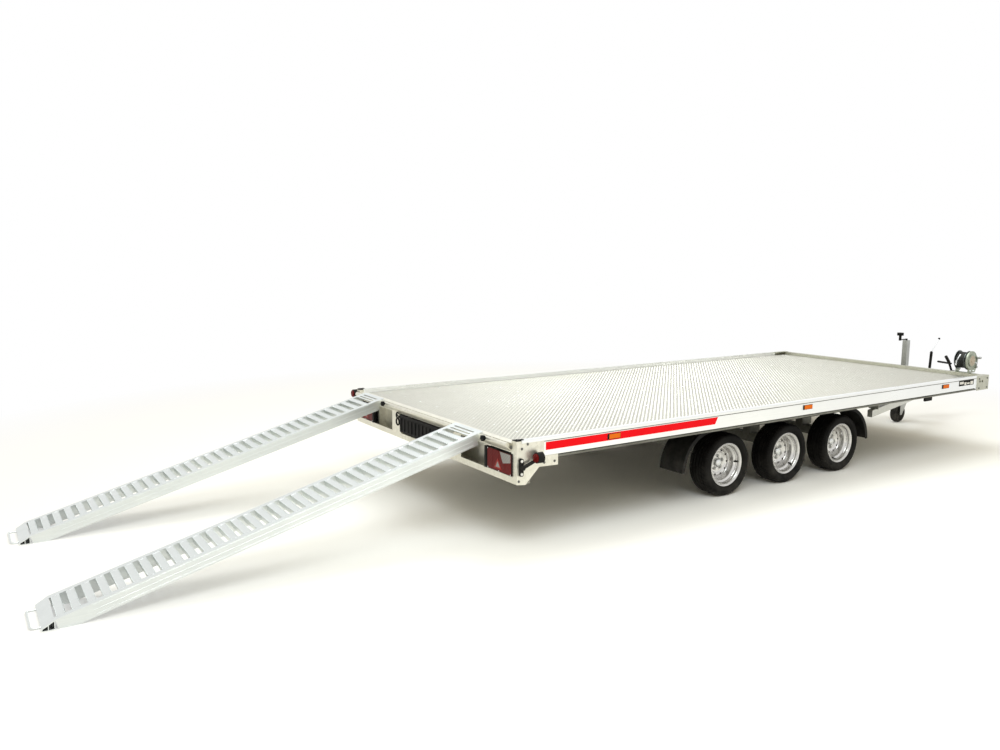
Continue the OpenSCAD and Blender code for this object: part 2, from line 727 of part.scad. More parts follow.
// Coupling head with its socket for a 50 mm ball
module coupling_head() {
    neck_x = overrun_front_x + bellows_l;
    color("silver") difference() {
        union() {
            translate([neck_x, 0, draw_z]) rotate([0, 90, 0]) cylinder(d = neck_d, h = ball_x - head_r + 10 - neck_x);
            span([ball_x - 105, -26, draw_z - 22], [ball_x, 26, draw_z + 42]);
            translate([ball_x, 0, socket_z]) cylinder(r = head_r, h = 48);
            translate([ball_x, 0, socket_z + 48]) sphere(r = head_r);
        }
        translate([ball_x, 0, socket_z - 1]) cylinder(r = ball_r, h = 31);
        translate([ball_x, 0, socket_z + 30 - e]) cylinder(r = ball_r + 1.5, h = 8);
        translate([ball_x, 0, socket_z + 38]) sphere(r = ball_r);
    }
}

module coupling_handle() {
    top = draw_z + 42;
    color("dimgray") {
        span([ball_x - 96, -19, top], [ball_x - 44, 19, top + 22]);
        rod([ball_x - 62, 0, top + 14], [ball_x - 148, 0, top + 140], 26);
        rod([ball_x - 140, 0, top + 132], [ball_x - 222, 0, top + 210], 36);
        rod([ball_x - 90, 0, top + 112], [ball_x - 396, 0, top + 158], 24);
    }
}

module handbrake_lever() {
    color("dimgray") {
        span([lever_x - 30, -30, lever_seat_z], [lever_x + 40, -12, lever_seat_z + 60]);
        rod([lever_x, -20, lever_seat_z + 40], [lever_x + 20, -20, lever_seat_z + 290], 32);
        rod([lever_x + 20, -20, lever_seat_z + 290], [lever_x + 170, -20, lever_seat_z + 440], 10);
        translate([lever_x + 172, -20, lever_seat_z + 442]) sphere(d = 26);
    }
}

module winch_frame() {
    y_out = winch_y - winch_half;
    color("silver") {
        span([winch_x - 36, winch_y - winch_half, winch_base_z], [winch_x + 20, winch_y + winch_half, winch_base_z + 6]);
        for (y = [y_out + 3, winch_y + winch_half - 3])
            translate([0, y, 0]) across(6) polygon([[winch_x - 36, winch_base_z], [winch_x + 20, winch_base_z],
                [winch_x + 60, winch_base_z + 30], [winch_x + 34, winch_z + 18], [winch_x - 26, winch_z + 18]]);
        translate([winch_x, y_out + e, winch_z]) rotate([90, 0, 0]) cylinder(d = reel_d, h = 14);
        translate([winch_x, y_out - 14 + e, winch_z]) rotate([90, 0, 0]) cylinder(d = reel_d - 70, h = 6);
        translate([0, y_out - 7 + e, 0]) across(14) polygon([[winch_x - 40, winch_base_z + 4], [winch_x + 76, winch_base_z + 4],
            [winch_x + 98, winch_base_z + 40], [winch_x + 92, winch_base_z + 96], [winch_x + 30, winch_z + 40],
            [winch_x - 40, winch_z + 20]]);
    }
}

module winch_drum() {
    color("gray") {
        for (y = [winch_y - 44, winch_y + 56])
            translate([winch_x, y, winch_z]) rotate([90, 0, 0]) cylinder(d = reel_d, h = 4);
        translate([winch_x, winch_y + 60 - running_gap, winch_z]) rotate([90, 0, 0])
            cylinder(d = 44, h = 2 * winch_half - 12 - 2 * running_gap);
        translate([winch_x, winch_y + 53, winch_z]) rotate([90, 0, 0]) cylinder(d = reel_d - 36, h = 98);
    }
}

// Crank on the gear cover, with its grip
module winch_crank() {
    y = winch_y - winch_half - 14;
    tip = [winch_crank_x + 16, y - 10, winch_crank_z + winch_crank_l];
    color("gray") {
        translate([winch_crank_x, y, winch_crank_z]) rotate([90, 0, 0]) cylinder(d = 26, h = 18);
        rod([winch_crank_x, y - 10, winch_crank_z], tip, 12);
        translate([tip[0], y - 4, tip[2]]) rotate([90, 0, 0]) cylinder(d = 22, h = 40);
    }
}

// Places a ramp: the local origin is on the bar, and the ramp runs down to local minus X
module on_ramp(y) {
    translate([bar_x, y, bar_z]) rotate([0, -ramp_slope, 0]) children();
}

// Hook that lies over the bar: an open ring, and its neck down to the rail
module ramp_hook(rail_end) {
    hole = ramp_bar_d / 2 + running_gap;
    difference() {
        union() {
            circle(hole + 8);
            translate([rail_end - 1, -hole - 8]) square([-rail_end - 8, 2 * hole + 16]);
        }
        circle(hole);
        polygon([[0, 0], [60, -16], [60, -80], [-35, -80], [-35, -62]]);
    }
}

module ramp(y) {
    upper = -32;
    lower = -ramp_l;
    first = upper - 100;
    rung_n = floor((ramp_l + first - rung_w / 2 - 8) / rung_pitch) + 1;
    slot_w = 14;
    inner_w = ramp_w - 2 * ramp_rail_w;
    color("gainsboro") difference() {
        on_ramp(y) {
            for (s = [-1, 1])
                translate([lower, s * (ramp_w - ramp_rail_w) / 2 - ramp_rail_w / 2, ramp_top - ramp_rail_h])
                    cube([upper - lower, ramp_rail_w, ramp_rail_h]);
            for (i = [0:rung_n - 1])
                translate([first - i * rung_pitch, 0, ramp_top - rung_h / 2 - 1]) difference() {
                    cube([rung_w, inner_w + 2, rung_h], center = true);
                    translate([0, 0, -rung_t]) cube([rung_w - 2 * rung_t, inner_w + 4, rung_h], center = true);
                }
            difference() {
                translate([upper - 40, -ramp_w / 2, ramp_top - 4]) cube([tongue_l, ramp_w, 4]);
                for (x = [upper - 16, upper + 18])
                    translate([x, 0, ramp_top]) cube([slot_w, inner_w - 30, 20], center = true);
            }
            for (s = [-1, 1]) translate([0, s * (ramp_w - ramp_rail_w) / 2, 0]) across(ramp_rail_w) ramp_hook(upper);
        }
        translate([ramp_end_x - 400, y - ramp_w, -200]) cube([400, 2 * ramp_w, 400]);
        translate([ramp_end_x - 400, y - ramp_w, -200]) cube([ramp_l, 2 * ramp_w, 200]);
    }
}

// Wedge-shaped toe, an extrusion across the ramp with two open cells, and its pull handle
module ramp_toe(y) {
    x = ramp_end_x - running_gap;
    bend = 20;
    color("gainsboro") {
        translate([0, y, 0]) across(ramp_w) difference() {
            polygon([[x, 0], [x - toe_l, 0], [x - toe_l, toe_lip], [x, toe_h]]);
            polygon([[x - 4, 4], [x - 30, 4], [x - 30, toe_h - 24], [x - 4, toe_h - 8]]);
            polygon([[x - 34, 4], [x - toe_l + 5, 4], [x - toe_l + 5, toe_lip - 1], [x - 34, toe_h - 27]]);
        }
        translate([x - toe_l, y, toe_lip / 2]) {
            for (s = [-1, 1]) {
                translate([e, s * handle_half, 0]) rotate([0, -90, 0]) cylinder(d = handle_d, h = handle_out - bend - handle_d / 2 + e);
                mirror([0, s > 0 ? 0 : 1, 0]) translate([handle_d / 2 + bend - handle_out, handle_half - bend, 0])
                    rotate([0, 0, 90]) rotate_extrude(angle = 90) translate([bend, 0]) circle(d = handle_d);
            }
            translate([handle_d / 2 - handle_out, 0, 0]) rotate([90, 0, 0])
                cylinder(d = handle_d, h = 2 * (handle_half - bend), center = true);
        }
    }
}

placed() side_rail_right();
placed() side_rail_left();
placed() rail_caps();
placed() front_beam();
placed() front_corners();
placed() deck_plate();
placed() rear_beam();
placed() rear_frame();
placed() corner_plates();
placed() side_stripes();
placed() cross_members();
placed() main_beams();
placed() ramp_store();
placed() torsion_axles();
placed() wheel_carriers();
placed() mudguard_right();
placed() mudguard_left();
placed() tail_lamps();
placed() lamp_ends();
placed() marker_arms();
placed() marker_lenses();
placed() side_markers();
placed() number_plate_flap();
placed() ramp_knobs();
placed() drawbar_leg_right();
placed() drawbar_leg_left();
placed() drawbar_brackets();
placed() jack_plate();
placed() overrun_housing();
placed() draw_bellows();
placed() coupling_head();
placed() coupling_handle();
placed() handbrake_lever();
placed() jack_tube();
placed() jack_crank();
placed() jack_inner();
placed() jack_fork();
placed() jack_wheel();
placed() winch_frame();
placed() winch_drum();
placed() winch_crank();
placed() ramp(ramp_right_y);  // ramp_right
placed() ramp_toe(ramp_right_y);  // ramp_right_toe
placed() ramp(ramp_left_y);  // ramp_left
placed() ramp_toe(ramp_left_y);  // ramp_left_toe
placed() rim(-1, 1);  // rim_right_1
placed() rim(-1, 2);  // rim_right_2
placed() rim(-1, 3);  // rim_right_3
placed() rim(1, 1);  // rim_left_1
placed() rim(1, 2);  // rim_left_2
placed() rim(1, 3);  // rim_left_3
placed() tyre(-1, 1);  // tyre_right_1
placed() tyre(-1, 2);  // tyre_right_2
placed() tyre(-1, 3);  // tyre_right_3
placed() tyre(1, 1);  // tyre_left_1
placed() tyre(1, 2);  // tyre_left_2
placed() tyre(1, 3);  // tyre_left_3
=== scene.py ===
import json
import math

import bpy
import bmesh
import numpy as np
from mathutils import Matrix, Vector


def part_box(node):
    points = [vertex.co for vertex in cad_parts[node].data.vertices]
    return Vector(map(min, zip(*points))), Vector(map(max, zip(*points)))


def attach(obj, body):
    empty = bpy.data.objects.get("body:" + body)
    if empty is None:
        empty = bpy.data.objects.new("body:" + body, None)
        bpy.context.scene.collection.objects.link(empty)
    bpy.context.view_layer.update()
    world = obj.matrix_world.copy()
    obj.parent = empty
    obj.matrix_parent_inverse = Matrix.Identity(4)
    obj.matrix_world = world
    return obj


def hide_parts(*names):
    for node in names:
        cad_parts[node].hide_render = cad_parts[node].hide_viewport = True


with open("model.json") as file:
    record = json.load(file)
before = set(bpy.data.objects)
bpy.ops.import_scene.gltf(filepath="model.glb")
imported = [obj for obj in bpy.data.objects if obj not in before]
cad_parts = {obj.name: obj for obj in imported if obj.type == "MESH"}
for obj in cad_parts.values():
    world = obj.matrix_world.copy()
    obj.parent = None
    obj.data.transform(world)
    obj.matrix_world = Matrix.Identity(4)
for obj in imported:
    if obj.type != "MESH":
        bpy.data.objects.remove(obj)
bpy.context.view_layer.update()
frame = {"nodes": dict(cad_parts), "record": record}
print("frame loaded:", len(frame["nodes"]), "nodes")

# places are given in metres forward from the bed's rear edge, left of the middle and up from the floor
bed = {"rear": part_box("corner_plates")[0].x, "length": 5.93, "halfWidth": 1.275, "top": 0.77, "deck": 0.73}
sides = {"right": -1, "left": 1}
view = {"place": (-3.003, -5.633, 1.959), "yaw": 33.35, "pitch": 8.12, "roll": 0.265, "lens": 30.01}


def at(x, y, z):
    return Vector((bed["rear"] + x, y, z))


# camera

def makeCamera():
    yaw, pitch, roll = (math.radians(view[k]) for k in ("yaw", "pitch", "roll"))
    ahead = Vector((math.sin(yaw) * math.cos(pitch), math.cos(yaw) * math.cos(pitch), -math.sin(pitch)))
    right = Vector((math.cos(yaw), -math.sin(yaw), 0))
    up = right.cross(ahead)
    right, up = right * math.cos(roll) + up * math.sin(roll), up * math.cos(roll) - right * math.sin(roll)
    camera = bpy.data.objects.new("camera", bpy.data.cameras.new("camera"))
    bpy.context.scene.collection.objects.link(camera)
    camera.data.sensor_width = 36
    camera.data.lens = view["lens"]
    camera.data.clip_end = 300
    camera.matrix_world = Matrix.Translation(at(*view["place"])) @ Matrix((right, up, -ahead)).transposed().to_4x4()
    bpy.context.scene.camera = camera


makeCamera()
print("camera placed")


# shader helpers: a node takes its inputs by name or number, and a socket given as a value is linked

def put(tree, kind, inputs=None, **settings):
    made = tree.nodes.new("ShaderNode" + kind)
    for key, value in settings.items():
        setattr(made, key, value)
    for key, value in (inputs or {}).items():
        if isinstance(value, bpy.types.NodeSocket):
            tree.links.new(value, made.inputs[key])
        else:
            made.inputs[key].default_value = value
    return made


def colour(r, g, b):
    return (r, g, b, 1.0)


def maths(tree, operation, a, b=0.0):
    return put(tree, "Math", {0: a, 1: b}, operation=operation).outputs[0]


def mixed(tree, share, a, b):
    made = put(tree, "Mix", data_type="RGBA")
    for key, value in ((0, share), (6, a), (7, b)):
        if isinstance(value, bpy.types.NodeSocket):
            tree.links.new(value, made.inputs[key])
        else:
            made.inputs[key].default_value = value
    return made.outputs[2]


def spread(tree, value, low, high, outLow, outHigh):
    return put(tree, "MapRange", {"Value": value, "From Min": low, "From Max": high,
                                  "To Min": outLow, "To Max": outHigh}).outputs["Result"]


def makeGroup(name, inputs, outputs):
    tree = bpy.data.node_groups.new(name, "ShaderNodeTree")
    for label, kind, value in inputs:
        socket = tree.interface.new_socket(name=label, in_out="INPUT", socket_type="NodeSocket" + kind)
        if value is not None:
            socket.default_value = value
    for label, kind in outputs:
        tree.interface.new_socket(name=label, in_out="OUTPUT", socket_type="NodeSocket" + kind)
    return tree, tree.nodes.new("NodeGroupInput"), tree.nodes.new("NodeGroupOutput")


def makeStreakGroup():
    # drawn or rolled metal: fine streaks along one direction, with soft clouds of handling marks
    tree, start, end = makeGroup("rolled metal", [
        ("Vector", "Vector", None), ("Stretch", "Vector", (2, 220, 220)), ("Base", "Color", colour(0.8, 0.8, 0.8)),
        ("Streak", "Color", colour(0.7, 0.7, 0.7)), ("Streak Amount", "Float", 0.5), ("Cloud Size", "Float", 2.5),
        ("Rough Low", "Float", 0.25), ("Rough High", "Float", 0.45)],
        [("Color", "Color"), ("Roughness", "Float"), ("Height", "Float")])
    drawn = put(tree, "VectorMath", {0: start.outputs["Vector"], 1: start.outputs["Stretch"]}, operation="MULTIPLY")
    streak = put(tree, "TexNoise", {"Vector": drawn.outputs[0], "Scale": 1.0, "Detail": 4.0, "Roughness": 0.6})
    cloud = put(tree, "TexNoise", {"Vector": start.outputs["Vector"], "Scale": start.outputs["Cloud Size"],
                                   "Detail": 5.0, "Roughness": 0.55})
    lines = spread(tree, streak.outputs["Fac"], 0.35, 0.7, 0.0, 1.0)
    clouds = spread(tree, cloud.outputs["Fac"], 0.38, 0.66, 0.0, 1.0)
    both = maths(tree, "MULTIPLY", maths(tree, "ADD", maths(tree, "MULTIPLY", lines, 0.55),
                                         maths(tree, "MULTIPLY", clouds, 0.45)), start.outputs["Streak Amount"])
    tree.links.new(mixed(tree, both, start.outputs["Base"], start.outputs["Streak"]), end.inputs["Color"])
    span = maths(tree, "SUBTRACT", start.outputs["Rough High"], start.outputs["Rough Low"])
    rough = maths(tree, "ADD", start.outputs["Rough Low"], maths(tree, "MULTIPLY", span, clouds))
    tree.links.new(maths(tree, "ADD", rough, maths(tree, "MULTIPLY", lines, 0.06)), end.inputs["Roughness"])
    tree.links.new(lines, end.inputs["Height"])
    return tree


def makeZincGroup():
    # zinc bath: crystal flakes of slightly different tone, with pale bloom between them
    tree, start, end = makeGroup("zinc flakes", [
        ("Vector", "Vector", None), ("Flakes", "Float", 45.0), ("Base", "Color", colour(0.7, 0.7, 0.66)),
        ("Flake", "Color", colour(0.8, 0.8, 0.76)), ("Bloom", "Color", colour(0.62, 0.62, 0.56)),
        ("Rough Low", "Float", 0.3), ("Rough High", "Float", 0.5)],
        [("Color", "Color"), ("Roughness", "Float"), ("Height", "Float")])
    bend = put(tree, "TexNoise", {"Vector": start.outputs["Vector"], "Scale": 18.0, "Detail": 2.0})
    shifted = put(tree, "VectorMath", {0: bend.outputs["Color"], 1: (0.03, 0.03, 0.03)}, operation="MULTIPLY")
    place = put(tree, "VectorMath", {0: start.outputs["Vector"], 1: shifted.outputs[0]}, operation="ADD")
    cells = put(tree, "TexVoronoi", {"Vector": place.outputs[0], "Scale": start.outputs["Flakes"]})
    tone = put(tree, "SeparateColor", {0: cells.outputs["Color"]}).outputs[0]
    bloom = put(tree, "TexNoise", {"Vector": start.outputs["Vector"], "Scale": 5.0, "Detail": 6.0, "Roughness": 0.6})
    pale = spread(tree, bloom.outputs["Fac"], 0.48, 0.68, 0.0, 0.75)
    flaked = mixed(tree, tone, start.outputs["Base"], start.outputs["Flake"])
    tree.links.new(mixed(tree, pale, flaked, start.outputs["Bloom"]), end.inputs["Color"])
    span = maths(tree, "SUBTRACT", start.outputs["Rough High"], start.outputs["Rough Low"])
    lift = maths(tree, "MULTIPLY", span, maths(tree, "ADD", maths(tree, "MULTIPLY", tone, 0.5),
                                               maths(tree, "MULTIPLY", pale, 0.65)))
    tree.links.new(maths(tree, "ADD", start.outputs["Rough Low"], lift), end.inputs["Roughness"])
    tree.links.new(tone, end.inputs["Height"])
    return tree


def makeGrainGroup():
    # moulded or cast surface: fine pimples over slower waviness
    tree, start, end = makeGroup("moulded grain", [
        ("Vector", "Vector", None), ("Grain", "Float", 900.0), ("Waves", "Float", 14.0), ("Wave Share", "Float", 0.4),
        ("Base", "Color", colour(0.02, 0.02, 0.02)), ("Worn", "Color", colour(0.06, 0.06, 0.06)),
        ("Wear", "Float", 0.5), ("Rough Low", "Float", 0.4), ("Rough High", "Float", 0.6)],
        [("Color", "Color"), ("Roughness", "Float"), ("Height", "Float")])
    fine = put(tree, "TexNoise", {"Vector": start.outputs["Vector"], "Scale": start.outputs["Grain"], "Detail": 2.0})
    slow = put(tree, "TexNoise", {"Vector": start.outputs["Vector"], "Scale": start.outputs["Waves"], "Detail": 5.0})
    worn = maths(tree, "MULTIPLY", spread(tree, slow.outputs["Fac"], 0.42, 0.7, 0.0, 1.0), start.outputs["Wear"])
    tree.links.new(mixed(tree, worn, start.outputs["Base"], start.outputs["Worn"]), end.inputs["Color"])
    span = maths(tree, "SUBTRACT", start.outputs["Rough High"], start.outputs["Rough Low"])
    tree.links.new(maths(tree, "ADD", start.outputs["Rough Low"], maths(tree, "MULTIPLY", span, slow.outputs["Fac"])),
                   end.inputs["Roughness"])
    waves = maths(tree, "MULTIPLY", slow.outputs["Fac"], start.outputs["Wave Share"])
    tree.links.new(maths(tree, "ADD", fine.outputs["Fac"], waves), end.inputs["Height"])
    return tree


def makeDustGroup():
    # pale floor dust that thins out with height above the floor
    tree, start, end = makeGroup("floor dust", [
        ("Vector", "Vector", None), ("Color", "Color", colour(0.5, 0.5, 0.5)), ("Dust", "Color", colour(0.36, 0.34, 0.3)),
        ("Amount", "Float", 0.3), ("Top", "Float", 0.5)], [("Color", "Color"), ("Mask", "Float")])
    height = put(tree, "SeparateXYZ", {0: start.outputs["Vector"]}).outputs["Z"]
    fall = maths(tree, "SUBTRACT", 1.0, maths(tree, "DIVIDE", height, start.outputs["Top"]))
    patch = put(tree, "TexNoise", {"Vector": start.outputs["Vector"], "Scale": 9.0, "Detail": 6.0, "Roughness": 0.65})
    cover = maths(tree, "MULTIPLY", spread(tree, patch.outputs["Fac"], 0.35, 0.75, 0.0, 1.0),
                  spread(tree, fall, 0.0, 1.0, 0.15, 1.0))
    mask = maths(tree, "MULTIPLY", cover, start.outputs["Amount"])
    tree.links.new(mixed(tree, mask, start.outputs["Color"], start.outputs["Dust"]), end.inputs["Color"])
    tree.links.new(mask, end.inputs["Mask"])
    return tree


def makeScratchGroup():
    # short thin scratches from loading and handling
    tree, start, end = makeGroup("thin scratches", [
        ("Vector", "Vector", None), ("Turn", "Float", 0.6), ("Density", "Float", 22.0)], [("Mask", "Float")])
    spun = put(tree, "VectorRotate", {"Vector": start.outputs["Vector"], "Angle": start.outputs["Turn"]},
               rotation_type="Z_AXIS")
    thin = put(tree, "VectorMath", {0: spun.outputs[0], 1: (1.0, 16.0, 9.0)}, operation="MULTIPLY")
    cells = put(tree, "TexVoronoi", {"Vector": thin.outputs[0], "Scale": start.outputs["Density"]}, feature="DISTANCE_TO_EDGE")
    line = spread(tree, cells.outputs["Distance"], 0.0, 0.018, 1.0, 0.0)
    rare = put(tree, "TexNoise", {"Vector": start.outputs["Vector"], "Scale": 6.0, "Detail": 3.0})
    where = spread(tree, rare.outputs["Fac"], 0.52, 0.66, 0.0, 1.0)
    tree.links.new(maths(tree, "MULTIPLY", line, where), end.inputs["Mask"])
    return tree


groups = {"rolled": makeStreakGroup(), "zinc": makeZincGroup(), "grain": makeGrainGroup(),
          "dust": makeDustGroup(), "scratch": makeScratchGroup()}
print("shader groups:", len(groups))


def placeGroup(tree, name, inputs):
    made = tree.nodes.new("ShaderNodeGroup")
    made.node_tree = groups[name]
    for key, value in inputs.items():
        if isinstance(value, bpy.types.NodeSocket):
            tree.links.new(value, made.inputs[key])
        else:
            made.inputs[key].default_value = value
    return made


def newFinish(name):
    material = bpy.data.materials.new(name)
    material.use_nodes = True
    tree = material.node_tree
    tree.nodes.clear()
    shader = put(tree, "BsdfPrincipled")
    tree.links.new(shader.outputs[0], put(tree, "OutputMaterial").inputs[0])
    return material, tree, shader, put(tree, "TexCoord").outputs["Object"]


def addBump(tree, shader, height, strength, distance):
    bump = put(tree, "Bump", {"Height": height, "Strength": strength, "Distance": distance})
    tree.links.new(bump.outputs[0], shader.inputs["Normal"])


def rolledMetal(name, base, streak, stretch=(2, 220, 220), amount=0.6, clouds=2.5, rough=(0.25, 0.42),
                metallic=1.0, bump=0.12, dust=0.12, scratches=0.35):
    material, tree, shader, place = newFinish(name)
    rolled = placeGroup(tree, "rolled", {"Vector": place, "Stretch": stretch, "Base": colour(*base),
                                         "Streak": colour(*streak), "Streak Amount": amount, "Cloud Size": clouds,
                                         "Rough Low": rough[0], "Rough High": rough[1]})
    dusted = placeGroup(tree, "dust", {"Vector": place, "Color": rolled.outputs["Color"], "Amount": dust})
    lines = placeGroup(tree, "scratch", {"Vector": place})
    marked = maths(tree, "MULTIPLY", lines.outputs["Mask"], scratches)
    tree.links.new(mixed(tree, marked, dusted.outputs["Color"], colour(0.93, 0.93, 0.93)), shader.inputs["Base Color"])
    tree.links.new(maths(tree, "ADD", rolled.outputs["Roughness"], maths(tree, "MULTIPLY", dusted.outputs["Mask"], 0.3)),
                   shader.inputs["Roughness"])
    shader.inputs["Metallic"].default_value = metallic
    addBump(tree, shader, maths(tree, "SUBTRACT", rolled.outputs["Height"], marked), bump, 0.0004)
    return material


def zincCoat(name, base, flake, bloom, flakes=45.0, rough=(0.32, 0.52), metallic=0.85, dust=0.15, bump=0.1):
    material, tree, shader, place = newFinish(name)
    zinc = placeGroup(tree, "zinc", {"Vector": place, "Flakes": flakes, "Base": colour(*base), "Flake": colour(*flake),
                                     "Bloom": colour(*bloom), "Rough Low": rough[0], "Rough High": rough[1]})
    dusted = placeGroup(tree, "dust", {"Vector": place, "Color": zinc.outputs["Color"], "Amount": dust})
    tree.links.new(dusted.outputs["Color"], shader.inputs["Base Color"])
    tree.links.new(zinc.outputs["Roughness"], shader.inputs["Roughness"])
    shader.inputs["Metallic"].default_value = metallic
    addBump(tree, shader, zinc.outputs["Height"], bump, 0.0003)
    return material


def mouldedFinish(name, base, worn, rough=(0.4, 0.6), grain=900.0, waves=14.0, wear=0.5, bump=0.25, dust=0.25,
                  metallic=0.0, coat=0.0, distance=0.0003, top=0.5, specular=0.08):
    material, tree, shader, place = newFinish(name)
    grains = placeGroup(tree, "grain", {"Vector": place, "Grain": grain, "Waves": waves, "Base": colour(*base),
                                        "Worn": colour(*worn), "Wear": wear, "Rough Low": rough[0], "Rough High": rough[1]})
    dusted = placeGroup(tree, "dust", {"Vector": place, "Color": grains.outputs["Color"], "Amount": dust, "Top": top})
    tree.links.new(dusted.outputs["Color"], shader.inputs["Base Color"])
    tree.links.new(maths(tree, "ADD", grains.outputs["Roughness"], maths(tree, "MULTIPLY", dusted.outputs["Mask"], 0.25)),
                   shader.inputs["Roughness"])
    shader.inputs["Metallic"].default_value = metallic
    shader.inputs["Coat Weight"].default_value = coat
    shader.inputs["Specular IOR Level"].default_value = specular
    addBump(tree, shader, grains.outputs["Height"], bump, distance)
    return material


def lensFinish(name, base, deep, prisms=(0, 260, 260), rough=0.12, coat=0.0, specular=0.10):
    # lamp glass: moulded prism rows under a smooth outer face
    material, tree, shader, place = newFinish(name)
    rows = put(tree, "VectorMath", {0: place, 1: prisms}, operation="MULTIPLY")
    ripple = put(tree, "VectorMath", {0: rows.outputs[0]}, operation="SINE")
    split = put(tree, "SeparateXYZ", {0: ripple.outputs[0]})
    cells = maths(tree, "MULTIPLY", split.outputs["Y"], split.outputs["Z"])
    haze = put(tree, "TexNoise", {"Vector": place, "Scale": 12.0, "Detail": 3.0})
    shade = maths(tree, "ADD", spread(tree, cells, -1.0, 1.0, 0.0, 0.7), maths(tree, "MULTIPLY", haze.outputs["Fac"], 0.3))
    tree.links.new(mixed(tree, shade, colour(*deep), colour(*base)), shader.inputs["Base Color"])
    tree.links.new(spread(tree, haze.outputs["Fac"], 0.3, 0.7, rough, rough + 0.12), shader.inputs["Roughness"])
    shader.inputs["Coat Weight"].default_value = coat
    shader.inputs["Coat Roughness"].default_value = 0.05
    shader.inputs["Specular IOR Level"].default_value = specular
    addBump(tree, shader, cells, 0.35, 0.0006)
    return material


finishes = {
    "rail_aluminium": rolledMetal("rail aluminium", (0.93, 0.94, 0.92), (0.79, 0.80, 0.79), rough=(0.24, 0.36),
                                  clouds=1.1, amount=0.6),
    "ramp_aluminium": rolledMetal("ramp aluminium", (0.77, 0.80, 0.78), (0.65, 0.68, 0.67), rough=(0.3, 0.44),
                                  clouds=3.0, amount=0.55, dust=0.1),
    # deck plate kept darker than its raised bars: painted shade between the bars
    "deck_aluminium": rolledMetal("deck aluminium", (0.46, 0.45, 0.39), (0.38, 0.37, 0.32), stretch=(14, 14, 14),
                                  clouds=0.55, amount=0.75, rough=(0.34, 0.5), bump=0.06, dust=0.0, scratches=0.25),
    "galvanised_steel": zincCoat("galvanised steel", (0.66, 0.64, 0.55), (0.78, 0.76, 0.67), (0.70, 0.68, 0.58)),
    "zinc_plate": rolledMetal("zinc plate", (0.42, 0.425, 0.40), (0.31, 0.315, 0.30), stretch=(160, 160, 3),
                              rough=(0.28, 0.42), clouds=9.0),
    "cast_steel": mouldedFinish("cast steel", (0.40, 0.40, 0.39), (0.52, 0.52, 0.50), rough=(0.35, 0.55), grain=420.0,
                                metallic=0.9, bump=0.3, dust=0.2),
    "black_plastic": mouldedFinish("black plastic", (0.0045, 0.0045, 0.0048), (0.012, 0.012, 0.0125), rough=(0.42, 0.6)),
    "black_rubber": mouldedFinish("black rubber", (0.008, 0.008, 0.008), (0.022, 0.0215, 0.020), rough=(0.6, 0.8), grain=600.0),
    "tyre_rubber": mouldedFinish("tyre rubber", (0.0030, 0.0029, 0.0027), (0.010, 0.0095, 0.009), rough=(0.5, 0.72), grain=520.0,
                                 waves=7.0, wear=0.8, dust=0.12, bump=0.2, top=0.3),
    "wheel_silver": mouldedFinish("wheel silver", (0.66, 0.65, 0.63), (0.54, 0.53, 0.51), rough=(0.18, 0.30), grain=1500.0,
                                  metallic=0.9, coat=0.1, bump=0.06, dust=0.08, waves=30.0, specular=0.4),
    "red_lens": lensFinish("red lens", (0.16, 0.006, 0.005), (0.06, 0.0015, 0.002)),
    "amber_lens": lensFinish("amber lens", (0.90, 0.22, 0.01), (0.50, 0.07, 0.0), prisms=(420, 0, 420)),
    "red_foil": mouldedFinish("red foil", (0.77, 0.006, 0.011), (0.69, 0.005, 0.009), rough=(0.30, 0.42), grain=300.0,
                              bump=0.05, dust=0.0, wear=0.6, waves=3.0, specular=0.04),
}
